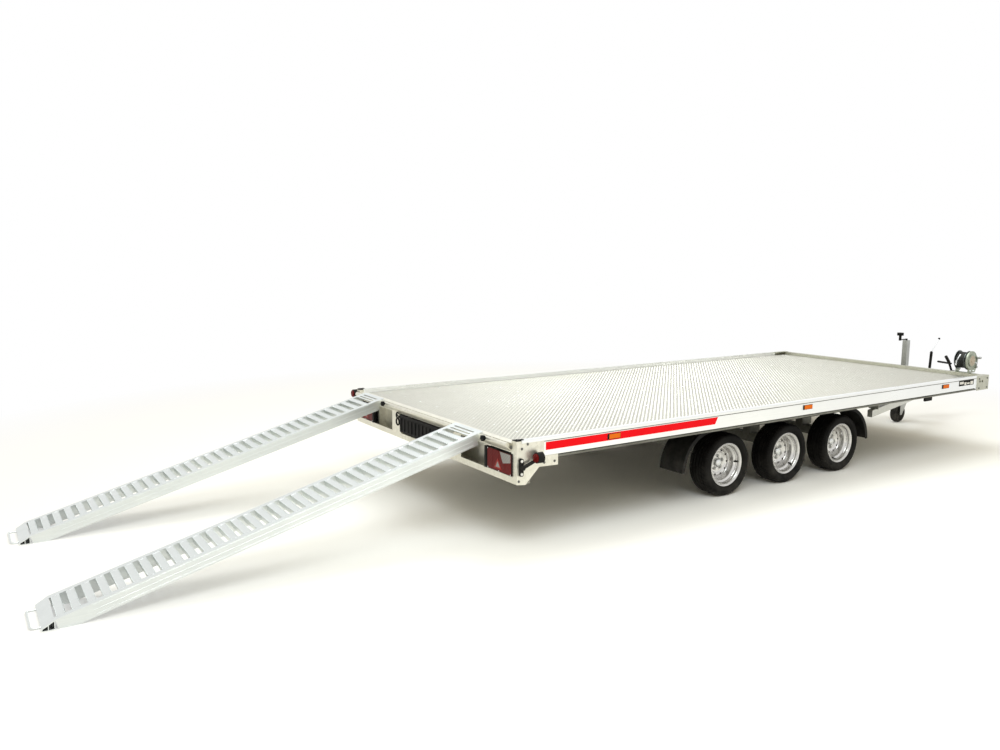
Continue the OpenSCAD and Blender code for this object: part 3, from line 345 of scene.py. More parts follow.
extra = {
    "clearLens": lensFinish("clear lens", (0.36, 0.36, 0.35), (0.17, 0.165, 0.165), rough=0.08),
    "reflector": lensFinish("reflector", (0.34, 0.04, 0.03), (0.20, 0.006, 0.006), prisms=(0, 700, 700), rough=0.15),
    "brightZinc": rolledMetal("bright zinc", (0.74, 0.75, 0.74), (0.60, 0.61, 0.60), stretch=(60, 60, 60),
                              rough=(0.2, 0.32), clouds=30.0, dust=0.05),
    "boltZinc": rolledMetal("bolt zinc", (0.20, 0.20, 0.185), (0.12, 0.12, 0.11), stretch=(60, 60, 60),
                            rough=(0.35, 0.5), clouds=30.0, dust=0.05, scratches=0.1),
    "coverZinc": zincCoat("passivated cover", (0.33, 0.36, 0.29), (0.39, 0.42, 0.34), (0.30, 0.32, 0.25), flakes=70.0,
                          rough=(0.34, 0.5)),
    "faceZinc": zincCoat("cover face", (0.44, 0.37, 0.27), (0.52, 0.44, 0.33), (0.38, 0.34, 0.25), flakes=70.0,
                         rough=(0.34, 0.5)),
    "frontZinc": zincCoat("front sheet", (0.45, 0.45, 0.37), (0.53, 0.53, 0.44), (0.49, 0.48, 0.40)),
    "legZinc": zincCoat("drawbar legs", (0.57, 0.575, 0.53), (0.66, 0.665, 0.61), (0.61, 0.61, 0.56)),
    # galvanised steel darkened as painted shade for the members under the bed
    "shadedUnderZinc": zincCoat("underside", (0.16, 0.16, 0.135), (0.22, 0.22, 0.19), (0.13, 0.125, 0.105), rough=(0.45, 0.65),
                          metallic=0.6, dust=0.1),
    # raised deck bars coloured lighter than the plate they are rolled from: painted highlight on the bars
    "treadHighlightAluminium": rolledMetal("tread aluminium", (0.68, 0.665, 0.595), (0.57, 0.555, 0.485), stretch=(30, 30, 30),
                                  clouds=0.7, amount=0.6, rough=(0.26, 0.40), bump=0.04, dust=0.0, scratches=0.3),
    "flangeZinc": rolledMetal("flange zinc", (0.20, 0.22, 0.21), (0.13, 0.145, 0.14), stretch=(40, 40, 40),
                              rough=(0.3, 0.45), clouds=20.0, dust=0.05),
    # mid-grey strip for the rail grooves: painted shade of the groove
    "shadeStrip": mouldedFinish("groove insert", (0.13, 0.13, 0.125), (0.20, 0.20, 0.19), rough=(0.5, 0.7)),
    "whiteCap": mouldedFinish("white cap", (0.74, 0.74, 0.72), (0.62, 0.62, 0.60), rough=(0.35, 0.5), dust=0.1),
    "rope": mouldedFinish("winch rope", (0.03, 0.033, 0.033), (0.10, 0.104, 0.10), rough=(0.45, 0.65), grain=260.0, metallic=0.3,
                          bump=0.5, distance=0.0008, wear=0.7),
}
# nodes that share a slot but have another coat; the underside coat is galvanised steel darkened as painted shade for
# members that stand in shade
coats = {"shadedUnderZinc": ["cross_members", "main_beams", "ramp_store", "torsion_axles", "wheel_carriers"],
         "frontZinc": ["front_beam", "front_corners"], "legZinc": ["drawbar_brackets", "drawbar_leg_right", "drawbar_leg_left"],
         "coverZinc": ["winch_frame"]}
for item in frame["record"]["subparts"]:
    node = frame["nodes"][item["node"]]
    other = [coat for coat, names in coats.items() if item["node"] in names]
    node.data.materials.clear()
    node.data.materials.append(extra[other[0]] if other else finishes[item["material_slot"]])
print("finishes:", len(finishes) + len(extra))


# mesh helpers: a shape is an array of points and a list of faces

def merged(shapes):
    points, faces, start = [], [], 0
    for p, f in shapes:
        points.append(p)
        faces += [tuple(i + start for i in face) for face in f]
        start += len(p)
    return np.vstack(points), faces


def shifted(shape, offset):
    return shape[0] + np.array(offset, float), shape[1]


def turned(shape, matrix):
    return shape[0] @ np.array(matrix.to_3x3(), float).T, shape[1]


def aimed(shape, axis):
    # turns a shape made along +Z so that it points along the axis
    return turned(shape, Vector((0, 0, 1)).rotation_difference(Vector(axis)).to_matrix())


def mirrored(shape):
    return shape[0] * np.array((1, -1, 1.0)), [tuple(reversed(f)) for f in shape[1]]


def lathe(profile, segments):
    # profile of (height, radius) pairs turned about Z
    angle = np.arange(segments) * 2 * math.pi / segments
    ring = np.stack([np.cos(angle), np.sin(angle)], 1)
    points = np.vstack([np.hstack([ring * r, np.full((segments, 1), z)]) for z, r in profile])
    faces = []
    for k in range(len(profile) - 1):
        for i in range(segments):
            j = (i + 1) % segments
            faces.append((k * segments + i, k * segments + j, (k + 1) * segments + j, (k + 1) * segments + i))
    for k, flip in ((0, True), (len(profile) - 1, False)):
        if profile[k][1] > 1e-6:
            loop = [k * segments + i for i in range(segments)]
            if profile[0] != profile[-1]:
                faces.append(tuple(reversed(loop)) if flip else tuple(loop))
    return points, faces


def block(low, high, chamfer=0.001):
    # box with chamfered edges: three points at each corner, one on each face
    low, high = np.array(low, float), np.array(high, float)
    c = min(chamfer, 0.45 * float((high - low).min()))
    corners = [(a, b, d) for a in (0, 1) for b in (0, 1) for d in (0, 1)]
    points, number = [], {}
    for corner in corners:
        for k in range(3):
            p = [0.0, 0.0, 0.0]
            for m in range(3):
                side = corner[m]
                p[m] = (high[m] if side else low[m]) - (0 if m == k else (c if side else -c))
            number[corner, k] = len(points)
            points.append(p)
    faces = []
    for k in range(3):
        a, b = [m for m in range(3) if m != k]
        for side in (0, 1):
            loop = []
            for u, v in ((0, 0), (1, 0), (1, 1), (0, 1)):
                corner = [0, 0, 0]
                corner[k], corner[a], corner[b] = side, u, v
                loop.append(number[tuple(corner), k])
            faces.append(tuple(loop))
        for u in (0, 1):
            for v in (0, 1):
                ends = []
                for side in (0, 1):
                    corner = [0, 0, 0]
                    corner[k], corner[a], corner[b] = side, u, v
                    ends.append(tuple(corner))
                faces.append((number[ends[0], a], number[ends[1], a], number[ends[1], b], number[ends[0], b]))
    faces += [tuple(number[corner, k] for k in range(3)) for corner in corners]
    return np.array(points), faces


def tube(path, radius, sides=12):
    # round bar along a path, closed at both ends
    path = [Vector(p) for p in path]
    radii = radius if isinstance(radius, (list, tuple)) else [radius] * len(path)
    points, faces = [], []
    ahead = (path[1] - path[0]).normalized()
    across = ahead.orthogonal().normalized()
    for k, place in enumerate(path):
        after = path[min(k + 1, len(path) - 1)] - path[max(k - 1, 0)]
        turn = ahead.rotation_difference(after.normalized())
        across.rotate(turn)
        ahead = after.normalized()
        other = ahead.cross(across)
        for i in range(sides):
            a = 2 * math.pi * i / sides
            points.append(place + (across * math.cos(a) + other * math.sin(a)) * radii[k])
    for k in range(len(path) - 1):
        for i in range(sides):
            j = (i + 1) % sides
            faces.append((k * sides + i, k * sides + j, (k + 1) * sides + j, (k + 1) * sides + i))
    faces.append(tuple(range(sides))[::-1])
    faces.append(tuple((len(path) - 1) * sides + i for i in range(sides)))
    return np.array([tuple(p) for p in points]), faces


def plate(outline, low, high):
    # outline of (y, z) pairs, as thick as from x = low to x = high
    n = len(outline)
    points = [(low, y, z) for y, z in outline] + [(high, y, z) for y, z in outline]
    faces = [tuple(range(n)), tuple(range(2 * n - 1, n - 1, -1))]
    faces += [(i, (i + 1) % n, n + (i + 1) % n, n + i) for i in range(n)]
    return np.array(points, float), faces


def hexBolt(size, washer=True):
    # head of a hexagon screw on +Z, with its washer; size is the width over the flats
    r = size / math.sqrt(3)
    head = lathe([(0, r * 0.96), (size * 0.06, r), (size * 0.5, r), (size * 0.62, r * 0.86), (size * 0.62, 0)], 6)
    if not washer:
        return head
    ring = lathe([(0, size * 0.95), (size * 0.14, size * 0.95), (size * 0.16, size * 0.9), (size * 0.16, 0)], 20)
    return merged([ring, shifted(head, (0, 0, size * 0.15))])


def makePiece(name, shape, finish, body, replaced=(), sharp=32, tidy=True):
    mesh = bpy.data.meshes.new(name)
    mesh.from_pydata(shape[0].tolist(), [], shape[1])
    if tidy:
        work = bmesh.new()
        work.from_mesh(mesh)
        bmesh.ops.remove_doubles(work, verts=work.verts, dist=1e-6)
        bmesh.ops.recalc_face_normals(work, faces=work.faces)
        work.to_mesh(mesh)
        work.free()
    mesh.shade_smooth()
    mesh.set_sharp_from_angle(angle=math.radians(sharp))
    mesh.materials.append(finish)
    piece = bpy.data.objects.new(name, mesh)
    bpy.context.scene.collection.objects.link(piece)
    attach(piece, body)
    if replaced:
        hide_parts(*replaced)
    return piece


# deck: raised bars, each square to its neighbours, and the rivets over the cross members
deck = {"pitch": 0.028, "barLength": 0.0190, "barWidth": 0.0056, "barHeight": 0.0017, "margin": 0.012,
        "crossFirst": 0.275, "crossLast": 5.825, "crossCount": 12, "rivetPitch": 0.29}


def makeDeckTread():
    low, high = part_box("deck_plate")
    step = deck["pitch"] / math.sqrt(2)
    columns = np.arange(low.x + deck["margin"] + 0.016, high.x - deck["margin"] - 0.012, step)
    rows = np.arange(low.y + deck["margin"] + 0.016, high.y - deck["margin"] - 0.012, step)
    i, j = np.meshgrid(np.arange(len(columns)), np.arange(len(rows)), indexing="ij")
    centreX, centreY = columns[i].ravel(), rows[j].ravel()
    angle = np.where((i + j).ravel() % 2 == 0, math.radians(45), math.radians(-45))
    half, wide, tall = deck["barLength"] / 2, deck["barWidth"] / 2, deck["barHeight"]
    outline = np.array([(-half, 0, 0), (-half * 0.3, -wide, 0), (half * 0.3, -wide, 0), (half, 0, 0),
                        (half * 0.3, wide, 0), (-half * 0.3, wide, 0), (-half * 0.42, 0, tall), (half * 0.42, 0, tall)])
    faces = [(0, 1, 6), (1, 2, 7, 6), (2, 3, 7), (3, 4, 7), (4, 5, 6, 7), (5, 0, 6)]
    middle = (low.x + high.x) / 2
    for name, part in (("deckTreadRear", centreX < middle), ("deckTreadFront", centreX >= middle)):
        turn = angle[part][:, None]
        x = centreX[part][:, None] + outline[:, 0] * np.cos(turn) - outline[:, 1] * np.sin(turn)
        y = centreY[part][:, None] + outline[:, 0] * np.sin(turn) + outline[:, 1] * np.cos(turn)
        z = np.broadcast_to(outline[:, 2] + high.z, x.shape)
        points = np.stack([x, y, z], 2).reshape(-1, 3)
        shape = points, [tuple(k * 8 + n for n in face) for k in range(len(x)) for face in faces]
        makePiece(name, shape, extra["treadHighlightAluminium"], "root", tidy=False, sharp=60)
    rivet = lathe([(0, 0.0085), (0.0012, 0.008), (0.0026, 0.0055), (0.0032, 0)], 12)
    spots = []
    for k in range(deck["crossCount"]):
        x = deck["crossFirst"] + (deck["crossLast"] - deck["crossFirst"]) * k / (deck["crossCount"] - 1)
        for n in range(-4, 5):
            spots.append(shifted(rivet, at(x, n * deck["rivetPitch"], high.z)))
    makePiece("deckRivets", merged(spots), extra["brightZinc"], "root")


makeDeckTread()
print("deck done")


# wheels: tyre with ribs and slanted sipes, dished rim, hub cap, nuts and valve
wheel = {"firstAxle": 2.25, "axlePitch": 0.76, "height": 0.2625, "rimInset": 0.297, "pitches": 45, "slant": 1.7}
tyreSide = [(0.0755, 0.1656), (0.0763, 0.1825), (0.0815, 0.1875), (0.0870, 0.1925), (0.0912, 0.1985), (0.0927, 0.1996),
            (0.0932, 0.2030), (0.0940, 0.2042), (0.0975, 0.2120), (0.0988, 0.2200), (0.0986, 0.2290), (0.0976, 0.2345),
            (0.0978, 0.2352), (0.0970, 0.2392), (0.0960, 0.2400), (0.0948, 0.2445), (0.0938, 0.2452), (0.0910, 0.2500),
            (0.0870, 0.2545), (0.0820, 0.2578), (0.0770, 0.2594)]
tyreBand = [0.0705, 0.0600, 0.0497, 0.0489, 0.0415, 0.0407, 0.0310, 0.0215, 0.0207, 0.0133, 0.0125, 0.0]
rimProfile = [(-0.0820, 0.1600), (-0.0820, 0.1808), (-0.0800, 0.1822), (-0.0770, 0.1815), (-0.0762, 0.1790), (-0.0760, 0.1652),
              (-0.0520, 0.1648), (-0.0400, 0.1440), (0.0320, 0.1440), (0.0460, 0.1648), (0.0760, 0.1652), (0.0762, 0.1790),
              (0.0770, 0.1815), (0.0800, 0.1824), (0.0826, 0.1812), (0.0832, 0.1785), (0.0815, 0.1745), (0.0785, 0.1715),
              (0.0745, 0.1660), (0.0690, 0.1622), (0.0560, 0.1612), (0.0500, 0.1585), (0.0470, 0.1560), (0.0440, 0.1578),
              (0.0400, 0.1560), (0.0320, 0.1430), (0.0290, 0.1400), (0.0240, 0.1388), (-0.0150, 0.1385), (-0.0180, 0.1370),
              (-0.0230, 0.1330), (-0.0240, 0.1290), (-0.0215, 0.1220), (-0.0140, 0.1120), (-0.0100, 0.1040), (-0.0095, 0.0980),
              (-0.0115, 0.0930), (-0.0180, 0.0860), (-0.0198, 0.0800), (-0.0200, 0.0440), (-0.0215, 0.0415),
              (-0.0290, 0.0400), (-0.0290, 0.0335)]
capProfile = [(-0.0290, 0.0322), (-0.0060, 0.0318), (-0.0030, 0.0325), (-0.0015, 0.0318), (0.0010, 0.0290), (0.0040, 0.0250),
              (0.0060, 0.0180), (0.0068, 0.0100), (0.0070, 0.0)]


def tyreShape():
    # columns cut each tread pitch into a narrow sipe and its blocks; rows run from bead to bead
    cuts = np.array([0.0, 0.035, 0.13, 0.165, 0.45, 0.72])
    angles = np.concatenate([(k + cuts) * 2 * math.pi / wheel["pitches"] for k in range(wheel["pitches"])])
    inCut = np.tile(np.array([False, True, True, False, False, False]), wheel["pitches"])
    rows = [(y, r, "wall") for y, r in tyreSide]
    band = tyreBand + [-y for y in tyreBand[-2::-1]]
    rows += [(y, 0.2625 - 0.0022 * (y / 0.07) ** 2, "band") for y in band]
    rows += [(-y, r, "wall") for y, r in reversed(tyreSide)]
    rings = []
    for y, r, kind in rows:
        radius = np.full(len(angles), r)
        aside = abs(y)
        if kind == "band" and (0.0133 <= aside <= 0.0208 or 0.0414 <= aside <= 0.049):
            radius -= 0.0065
        elif (kind == "band" and aside > 0.049) or (kind == "wall" and r > 0.249):
            radius[inCut] -= 0.0045
        elif kind == "band" and aside > 0.012:
            radius[inCut] -= 0.0032
        if kind == "wall" and 0.2392 <= r <= 0.2446:
            radius[inCut] += 0.0008
        twist = angles + (wheel["slant"] * min(aside, 0.08))
        rings.append(np.stack([radius * np.cos(twist), radius * np.sin(twist), np.full(len(angles), y)], 1))
    n = len(angles)
    faces = []
    for k in range(len(rings)):
        after = (k + 1) % len(rings)
        for i in range(n):
            j = (i + 1) % n
            faces.append((k * n + i, after * n + i, after * n + j, k * n + j))
    return np.vstack(rings), faces


def makeWheels():
    tyre = tyreShape()
    rim = lathe(rimProfile, 96)
    cap = lathe(capProfile, 40)
    nuts = []
    for k in range(5):
        a = math.radians(72 * k + 18)
        spot = (0.056 * math.cos(a), 0.056 * math.sin(a), -0.0200)
        nuts.append(shifted(lathe([(0, 0.0150), (0.001, 0.0150), (0.003, 0.0125), (0.003, 0.0115)], 20), spot))
        nuts.append(shifted(lathe([(0, 0.0112), (0.009, 0.0112), (0.0125, 0.0095), (0.0135, 0.0)], 6), spot))
    # black discs on the rim face stand for its vent holes: painted shade of the holes
    ventShade = lathe([(-0.003, 0.0098), (0.0004, 0.0092), (0.0004, 0.0)], 20)
    ventShades = merged([shifted(ventShade, (0.1030 * math.cos(a), 0.1030 * math.sin(a), -0.0098)) for a in np.arange(10) * math.pi / 5])
    for k in range(10):
        a = math.radians(36 * k)
        rim = merged([rim, shifted(lathe([(0, 0.0062), (0.0016, 0.0052), (0.0016, 0)], 10),
                                   (0.0655 * math.cos(a), 0.0655 * math.sin(a), -0.0202))])
    for side, sign in sides.items():
        out = Matrix(((1, 0, 0), (0, 0, sign), (0, -sign, 0)))
        for k in range(3):
            centre = at(wheel["firstAxle"] + k * wheel["axlePitch"], sign * (bed["halfWidth"] - wheel["rimInset"]), wheel["height"])
            spin = Matrix.Rotation(math.radians((0, 47, 101)[k] * sign), 3, "Z")
            body, tag = "wheel_%s_%d" % (side, k + 1), "%s%d" % (side.capitalize(), k + 1)

            def placed(shape):
                return shifted(turned(turned(shape, spin), out), centre)
            makePiece("tyre" + tag, placed(tyre), finishes["tyre_rubber"], body,
                      ["tyre_%s_%d" % (side, k + 1)], sharp=28)
            makePiece("rim" + tag, placed(rim), finishes["wheel_silver"], body,
                      ["rim_%s_%d" % (side, k + 1)], sharp=30)
            makePiece("hubCap" + tag, placed(cap), extra["brightZinc"], body, sharp=30)
            makePiece("wheelNuts" + tag, placed(merged(nuts)), finishes["zinc_plate"], body, sharp=30)
            makePiece("rimVentShades" + tag, placed(ventShades), finishes["black_plastic"], body)
            stem = tube([(0.146, 0, 0.034), (0.1475, 0, 0.048), (0.1490, 0, 0.060), (0.1495, 0, 0.068)],
                        [0.0078, 0.0060, 0.0045, 0.0052], 10)
            makePiece("valve" + tag, placed(stem), finishes["black_rubber"], body)


makeWheels()
print("wheels done")


# tail lamps: red lens with a clear upper corner, reflector and dark bezel, drawn as (across, up) shares of the lamp
lamp = {"low": 0.523, "height": 0.150, "inner": 0.926, "width": 0.300, "face": -0.0115, "bezel": 0.004,
        "clear": [(0.54, 0.955), (0.965, 0.955), (0.965, 0.60), (0.67, 0.47)],
        "triangle": [(0.30, 0.14), (0.62, 0.14), (0.46, 0.62)]}


def lampPoint(u, v):
    return lamp["inner"] + u * lamp["width"], lamp["low"] + v * lamp["height"]


def insetOutline(outline, share):
    middle = np.mean(outline, 0)
    return [tuple(middle + (np.array(p) - middle) * share) for p in outline]


def makeTailLamps():
    face = lamp["face"] + bed["rear"]
    edge = lamp["bezel"]
    y0, z0 = lampPoint(0, 0)
    y1, z1 = lampPoint(1, 1)
    housing = block((face + 0.006, y0 + 0.001, z0 + 0.001), (face + 0.049, y1 - 0.001, z1 - 0.001), 0.003)
    rim = [block((face + 0.002, y0 + 0.001, z0 + 0.001), (face + 0.010, y1 - 0.001, z0 + edge), 0.001),
           block((face + 0.002, y0 + 0.001, z1 - edge), (face + 0.010, y1 - 0.001, z1 - 0.001), 0.001),
           block((face + 0.002, y0 + 0.001, z0 + 0.001), (face + 0.010, y0 + edge, z1 - 0.001), 0.001),
           block((face + 0.002, y1 - edge, z0 + 0.001), (face + 0.010, y1 - 0.001, z1 - 0.001), 0.001)]
    dark = merged([housing] + rim)
    red = [block((face + 0.001, y0 + edge, z0 + edge), (face + 0.012, y1 - edge, z1 - edge), 0.003)]
    for k in range(1, 4):  # raised seams between the lamp's chambers
        y = y0 + lamp["width"] * k / 4
        red.append(block((face, y - 0.0008, z0 + 0.008), (face + 0.004, y + 0.0008, z1 - 0.008), 0.0004))
    clear = [lampPoint(*p) for p in lamp["clear"]]
    triangle = [lampPoint(*p) for p in lamp["triangle"]]
    shapes = {"tailLampHousing": (dark, finishes["black_plastic"], "black_plastic"),
              "tailLampLens": (merged(red), finishes["red_lens"], "red_lens"),
              "tailLampClear": (plate(clear, face - 0.0005, face + 0.006), extra["clearLens"], "red_lens"),
              "tailLampReflector": (plate(triangle, face - 0.0004, face + 0.006), extra["reflector"], "red_lens")}
    # a lighter clear triangle inside the reflector: painted highlight on the reflector
    inner = plate(insetOutline(triangle, 0.55), face - 0.0005, face + 0.004)
    shapes["tailLampPrism"] = (inner, extra["clearLens"], "red_lens")
    screws = []
    for u, v in ((0.04, 0.06), (0.96, 0.06), (0.04, 0.94), (0.5, 0.05)):
        y, z = lampPoint(u, v)
        screws.append(shifted(aimed(lathe([(0, 0.0042), (0.0012, 0.0036), (0.0014, 0.0)], 12), (-1, 0, 0)), (face + 0.0012, y, z)))
    shapes["tailLampScrews"] = (merged(screws), extra["brightZinc"], "zinc_plate")
    for name, (shape, finish, slot) in shapes.items():
        both = merged([shape, mirrored(shape)])
        replaced = ["tail_lamps"] if name == "tailLampLens" else []
        makePiece(name, both, finish, "root", replaced)


makeTailLamps()


# amber side markers: black base, ribbed lens
marker = {"shares": (0.14, 0.5025, 0.8626), "length": 0.120, "height": 0.040, "z": 0.709, "face": 1.272}


def makeSideMarkers():
    bases, lenses = [], []
    half, tall = marker["length"] / 2, marker["height"] / 2
    for share in marker["shares"]:
        x, y, z = bed["rear"] + share * bed["length"], marker["face"], marker["z"]
        bases.append(block((x - half, y, z - tall), (x + half, y + 0.0034, z + tall), 0.001))
        bases.append(block((x - half, y, z - tall), (x - half + 0.014, y + 0.0058, z + tall), 0.002))
        lenses.append(block((x - half + 0.014, y + 0.001, z - tall + 0.003), (x + half - 0.003, y + 0.0056, z + tall - 0.003), 0.0024))
        for k in range(12):
            rib = x - half + 0.022 + k * 0.0082
            lenses.append(block((rib, y + 0.004, z - tall + 0.006), (rib + 0.0035, y + 0.006, z + tall - 0.006), 0.0008))
    for name, parts, finish, slot, replaced in (("sideMarkerBases", bases, "black_plastic", "black_plastic", []),
                                                ("sideMarkerLenses", lenses, "amber_lens", "amber_lens", ["side_markers"])):
        shape = merged(parts)
        makePiece(name, merged([shape, mirrored(shape)]), finishes[finish], "root", replaced)


makeSideMarkers()
print("lamps done")


# round lamps on the rubber arms: right one straight, left one bent up
corner = {"across": 1.314, "radius": 0.0305, "right": (0.128, 0.650), "left": (-0.020, 0.722)}


def makeCornerLamps():
    r = corner["radius"]
    dome = lathe([(0.0, r), (0.0090, r * 0.985), (0.0112, r * 0.90), (0.0118, r * 0.70), (0.0126, r * 0.68),
                  (0.0130, r * 0.45), (0.0122, r * 0.43), (0.0134, r * 0.20), (0.0136, 0.0)], 40)
    rim = lathe([(-0.006, r + 0.0052), (0.0015, r + 0.0058), (0.0026, r + 0.0048), (0.0026, r + 0.0015), (-0.0010, r + 0.0002)], 40)
    lenses, rims = [], []
    for side, sign in sides.items():
        x, z = corner[side]
        place = at(x, sign * corner["across"], z)
        lenses.append(shifted(aimed(dome, (-1, 0, 0)), place))
        rims.append(shifted(aimed(rim, (-1, 0, 0)), place))
    makePiece("cornerLampLenses", merged(lenses), finishes["red_lens"], "root", ["marker_lenses"])
    makePiece("cornerLampRims", merged(rims), finishes["black_rubber"], "root")


makeCornerLamps()

# screws and bolts of the body, as (place, direction, width over flats)
bolts = {"rearBeam": [-1.208, -0.355, 0.004, 0.370, 1.208], "rearBeamUp": 0.716,
         "sidePlate": [(0.039, 0.714), (0.085, 0.741), (0.202, 0.667), (0.221, 0.600), (0.307, 0.600), (0.016, 0.498)],
         "armCaps": [0.635, 0.548], "front": [(5.745, 0.640), (5.745, 0.735), (5.90, 0.640), (5.90, 0.735)]}


def makeBolts():
    small, large = hexBolt(0.010), hexBolt(0.013)
    heads = [shifted(aimed(large, (-1, 0, 0)), at(0, y, bolts["rearBeamUp"])) for y in bolts["rearBeam"]]
    dome = lathe([(0, 0.0100), (0.0030, 0.0098), (0.0055, 0.0080), (0.0066, 0.0045), (0.0070, 0)], 20)
    caps = []
    for sign in sides.values():
        for x, z in bolts["sidePlate"] + bolts["front"]:
            heads.append(shifted(aimed(small, (0, sign, 0)), at(x, sign * bed["halfWidth"], z)))
        for z in bolts["armCaps"]:
            caps.append(shifted(aimed(dome, (0, sign, 0)), at(0.030, sign * (bed["halfWidth"] + 0.014), z)))
    makePiece("bodyBolts", merged(heads), extra["boltZinc"], "root")
    makePiece("armCaps", merged(caps), extra["whiteCap"], "root")


makeBolts()
print("bolts done")


# small fittings of the rails and the rear end
rail = {"face": 1.272, "grooveFace": 1.2695, "groove": (0.7392, 0.7468), "from": 0.062, "to": 5.68,
        "pad": (5.362, 5.640, 0.688, 0.741),
        "marks": [(5.375, 5.448, 0.706, 0.730), (5.462, 5.500, 0.692, 0.722), (5.512, 5.560, 0.700, 0.716), (5.575, 5.628, 0.693, 0.727)],
        "buffer": (4.748, 4.926, 0.586, 0.644), "latch": (0.432, 0.664, 0.612)}


def makeRailFittings():
    low, high = rail["groove"]
    # a mid-grey strip laid in each rail groove stands for the groove's shade: painted shade
    shadeStrip = block(at(rail["from"], rail["grooveFace"] - 0.004, low), at(rail["to"], rail["grooveFace"], high), 0.001)
    makePiece("grooveShadeStrips", merged([shadeStrip, mirrored(shadeStrip)]), extra["shadeStrip"], "root")
    x0, x1, z0, z1 = rail["pad"]
    pad = block(at(x0, rail["face"] - 0.001, z0), at(x1, rail["face"] + 0.0012, z1), 0.0006)
    x0, x1, z0, z1 = rail["buffer"]
    buffer = [block(at(x0, 1.238, z1 - 0.022), at(x1, 1.266, z1), 0.004), block(at(x0 + 0.04, 1.242, z0), at(x1 - 0.015, 1.264, z1 - 0.018), 0.005)]
    dark = merged([pad] + buffer)
    makePiece("railPads", merged([dark, mirrored(dark)]), finishes["black_rubber"], "root")
    marks = merged([block(at(a, rail["face"], c), at(b, rail["face"] + 0.0018, d), 0.0005) for a, b, c, d in rail["marks"]])
    makePiece("railMarks", merged([marks, mirrored(marks)]), extra["whiteCap"], "root")
    across, top, bottom = rail["latch"]
    rings = []
    for z, r in ((top, 0.024), (bottom, 0.027)):
        rings.append(tube([at(-0.0125, across + r * math.cos(k * math.pi / 14), z + r * math.sin(k * math.pi / 14)) for k in range(29)], 0.0065, 10))
    rings.append(block(at(-0.016, across - 0.008, top - 0.008), at(0.0, across + 0.008, top + 0.008), 0.003))
    makePiece("flapLatch", merged(rings), finishes["black_rubber"], "root")


makeRailFittings()
print("rail fittings done")


# winch: wound reel, flanges, raised edge of the gear cover and the hook on its strap
winch = {"x": 5.908, "y": -1.020, "z": 0.894, "half": 0.066, "rope": 0.004, "crank": (6.004, 0.922)}


def makeWinch():
    x, y, z = winch["x"], winch["y"], winch["z"]
    flange = lathe([(0.0, 0.020), (0.0, 0.0945), (-0.001, 0.0975), (0.001, 0.0998), (0.004, 0.0996), (0.004, 0.0945),
                    (0.0030, 0.0920), (0.0030, 0.020)], 72)
    flanges = [shifted(aimed(flange, (0, -1, 0)), at(x, y - 0.0440, z)),
               shifted(aimed(flange, (0, 1, 0)), at(x, y + 0.0520, z))]
    core = shifted(aimed(lathe([(0, 0.022), (0.119, 0.022)], 32), (0, -1, 0)), at(x, y + 0.0595, z))
    makePiece("winchFlanges", merged(flanges + [core]), extra["flangeZinc"], "root", ["winch_drum"])
    turns = []
    for layer, radius in enumerate((0.0745, 0.0810)):
        count = 11 - layer
        path = []
        for k in range(count * 24 + 1):
            a = 2 * math.pi * k / 24
            path.append(at(x + radius * math.cos(a), y - 0.038 + layer * 0.004 + 0.0080 * k / 24, z + radius * math.sin(a)))
        turns.append(tube(path, winch["rope"], 8))
    turns.append(shifted(aimed(lathe([(0, 0.0720), (0.0955, 0.0720)], 48), (0, -1, 0)), at(x, y + 0.0515, z)))
    makePiece("winchRope", merged(turns), extra["rope"], "root")
    front = y - winch["half"] - 0.014
    edge = lathe([(-0.001, 0.0990), (0.0012, 0.0986), (0.0020, 0.0965), (0.0014, 0.0945), (-0.001, 0.0940)], 72)
    step = lathe([(0.0055, 0.0640), (0.0072, 0.0625), (0.0078, 0.0560), (0.0070, 0.0545), (0.0055, 0.0535)], 72)
    face = lathe([(0.0045, 0.0535), (0.0066, 0.0530), (0.0066, 0.0200), (0.0085, 0.0195), (0.0098, 0.0150), (0.0098, 0.0)], 48)
    for name, shape, coat in (("winchCover", merged([edge, step]), "coverZinc"), ("winchFace", face, "faceZinc")):
        makePiece(name, shifted(aimed(shape, (0, -1, 0)), at(x, front, z)), extra[coat], "root")
    strap = [at(x - 0.060, y + 0.010, z + 0.062), at(x - 0.082, y + 0.022, z + 0.020), at(x - 0.090, y + 0.030, z - 0.006)]
    ring = []
    for k in range(25):
        a = 2 * math.pi * k / 24
        ring.append(at(x - 0.0945 + 0.010 * math.cos(a), y + 0.034 + 0.012 * math.cos(a), z - 0.028 + 0.024 * math.sin(a)))
    makePiece("winchHook", merged([tube(strap, [0.009, 0.007, 0.005], 10), tube(ring, 0.0045, 10)]),
              extra["brightZinc"], "root")
    heads = []
    for dx, dz in ((-0.026, -0.108), (0.036, -0.110), (0.082, -0.030)):
        heads.append(shifted(aimed(hexBolt(0.013), (0, -1, 0)), at(x + dx, front, z + dz)))
    makePiece("winchBolts", merged(heads), extra["brightZinc"], "root")
    across, up = winch["crank"]
    grip = lathe([(0, 0.0112), (0.003, 0.0122), (0.010, 0.0116), (0.030, 0.0118), (0.037, 0.0124), (0.0405, 0.0112), (0.0412, 0.0)], 24)
    makePiece("winchGrip", shifted(aimed(grip, (0, -1, 0)), at(across, front - 0.0035, up)), finishes["cast_steel"],
              "root")


makeWinch()
print("winch done")


# handbrake lever: black grip with a bright rod and a small ball on its end
lever = {"foot": (7.040, -0.020, 0.569), "bend": (7.060, -0.020, 0.819), "tip": (7.210, -0.020, 0.969), "seat": 0.529}


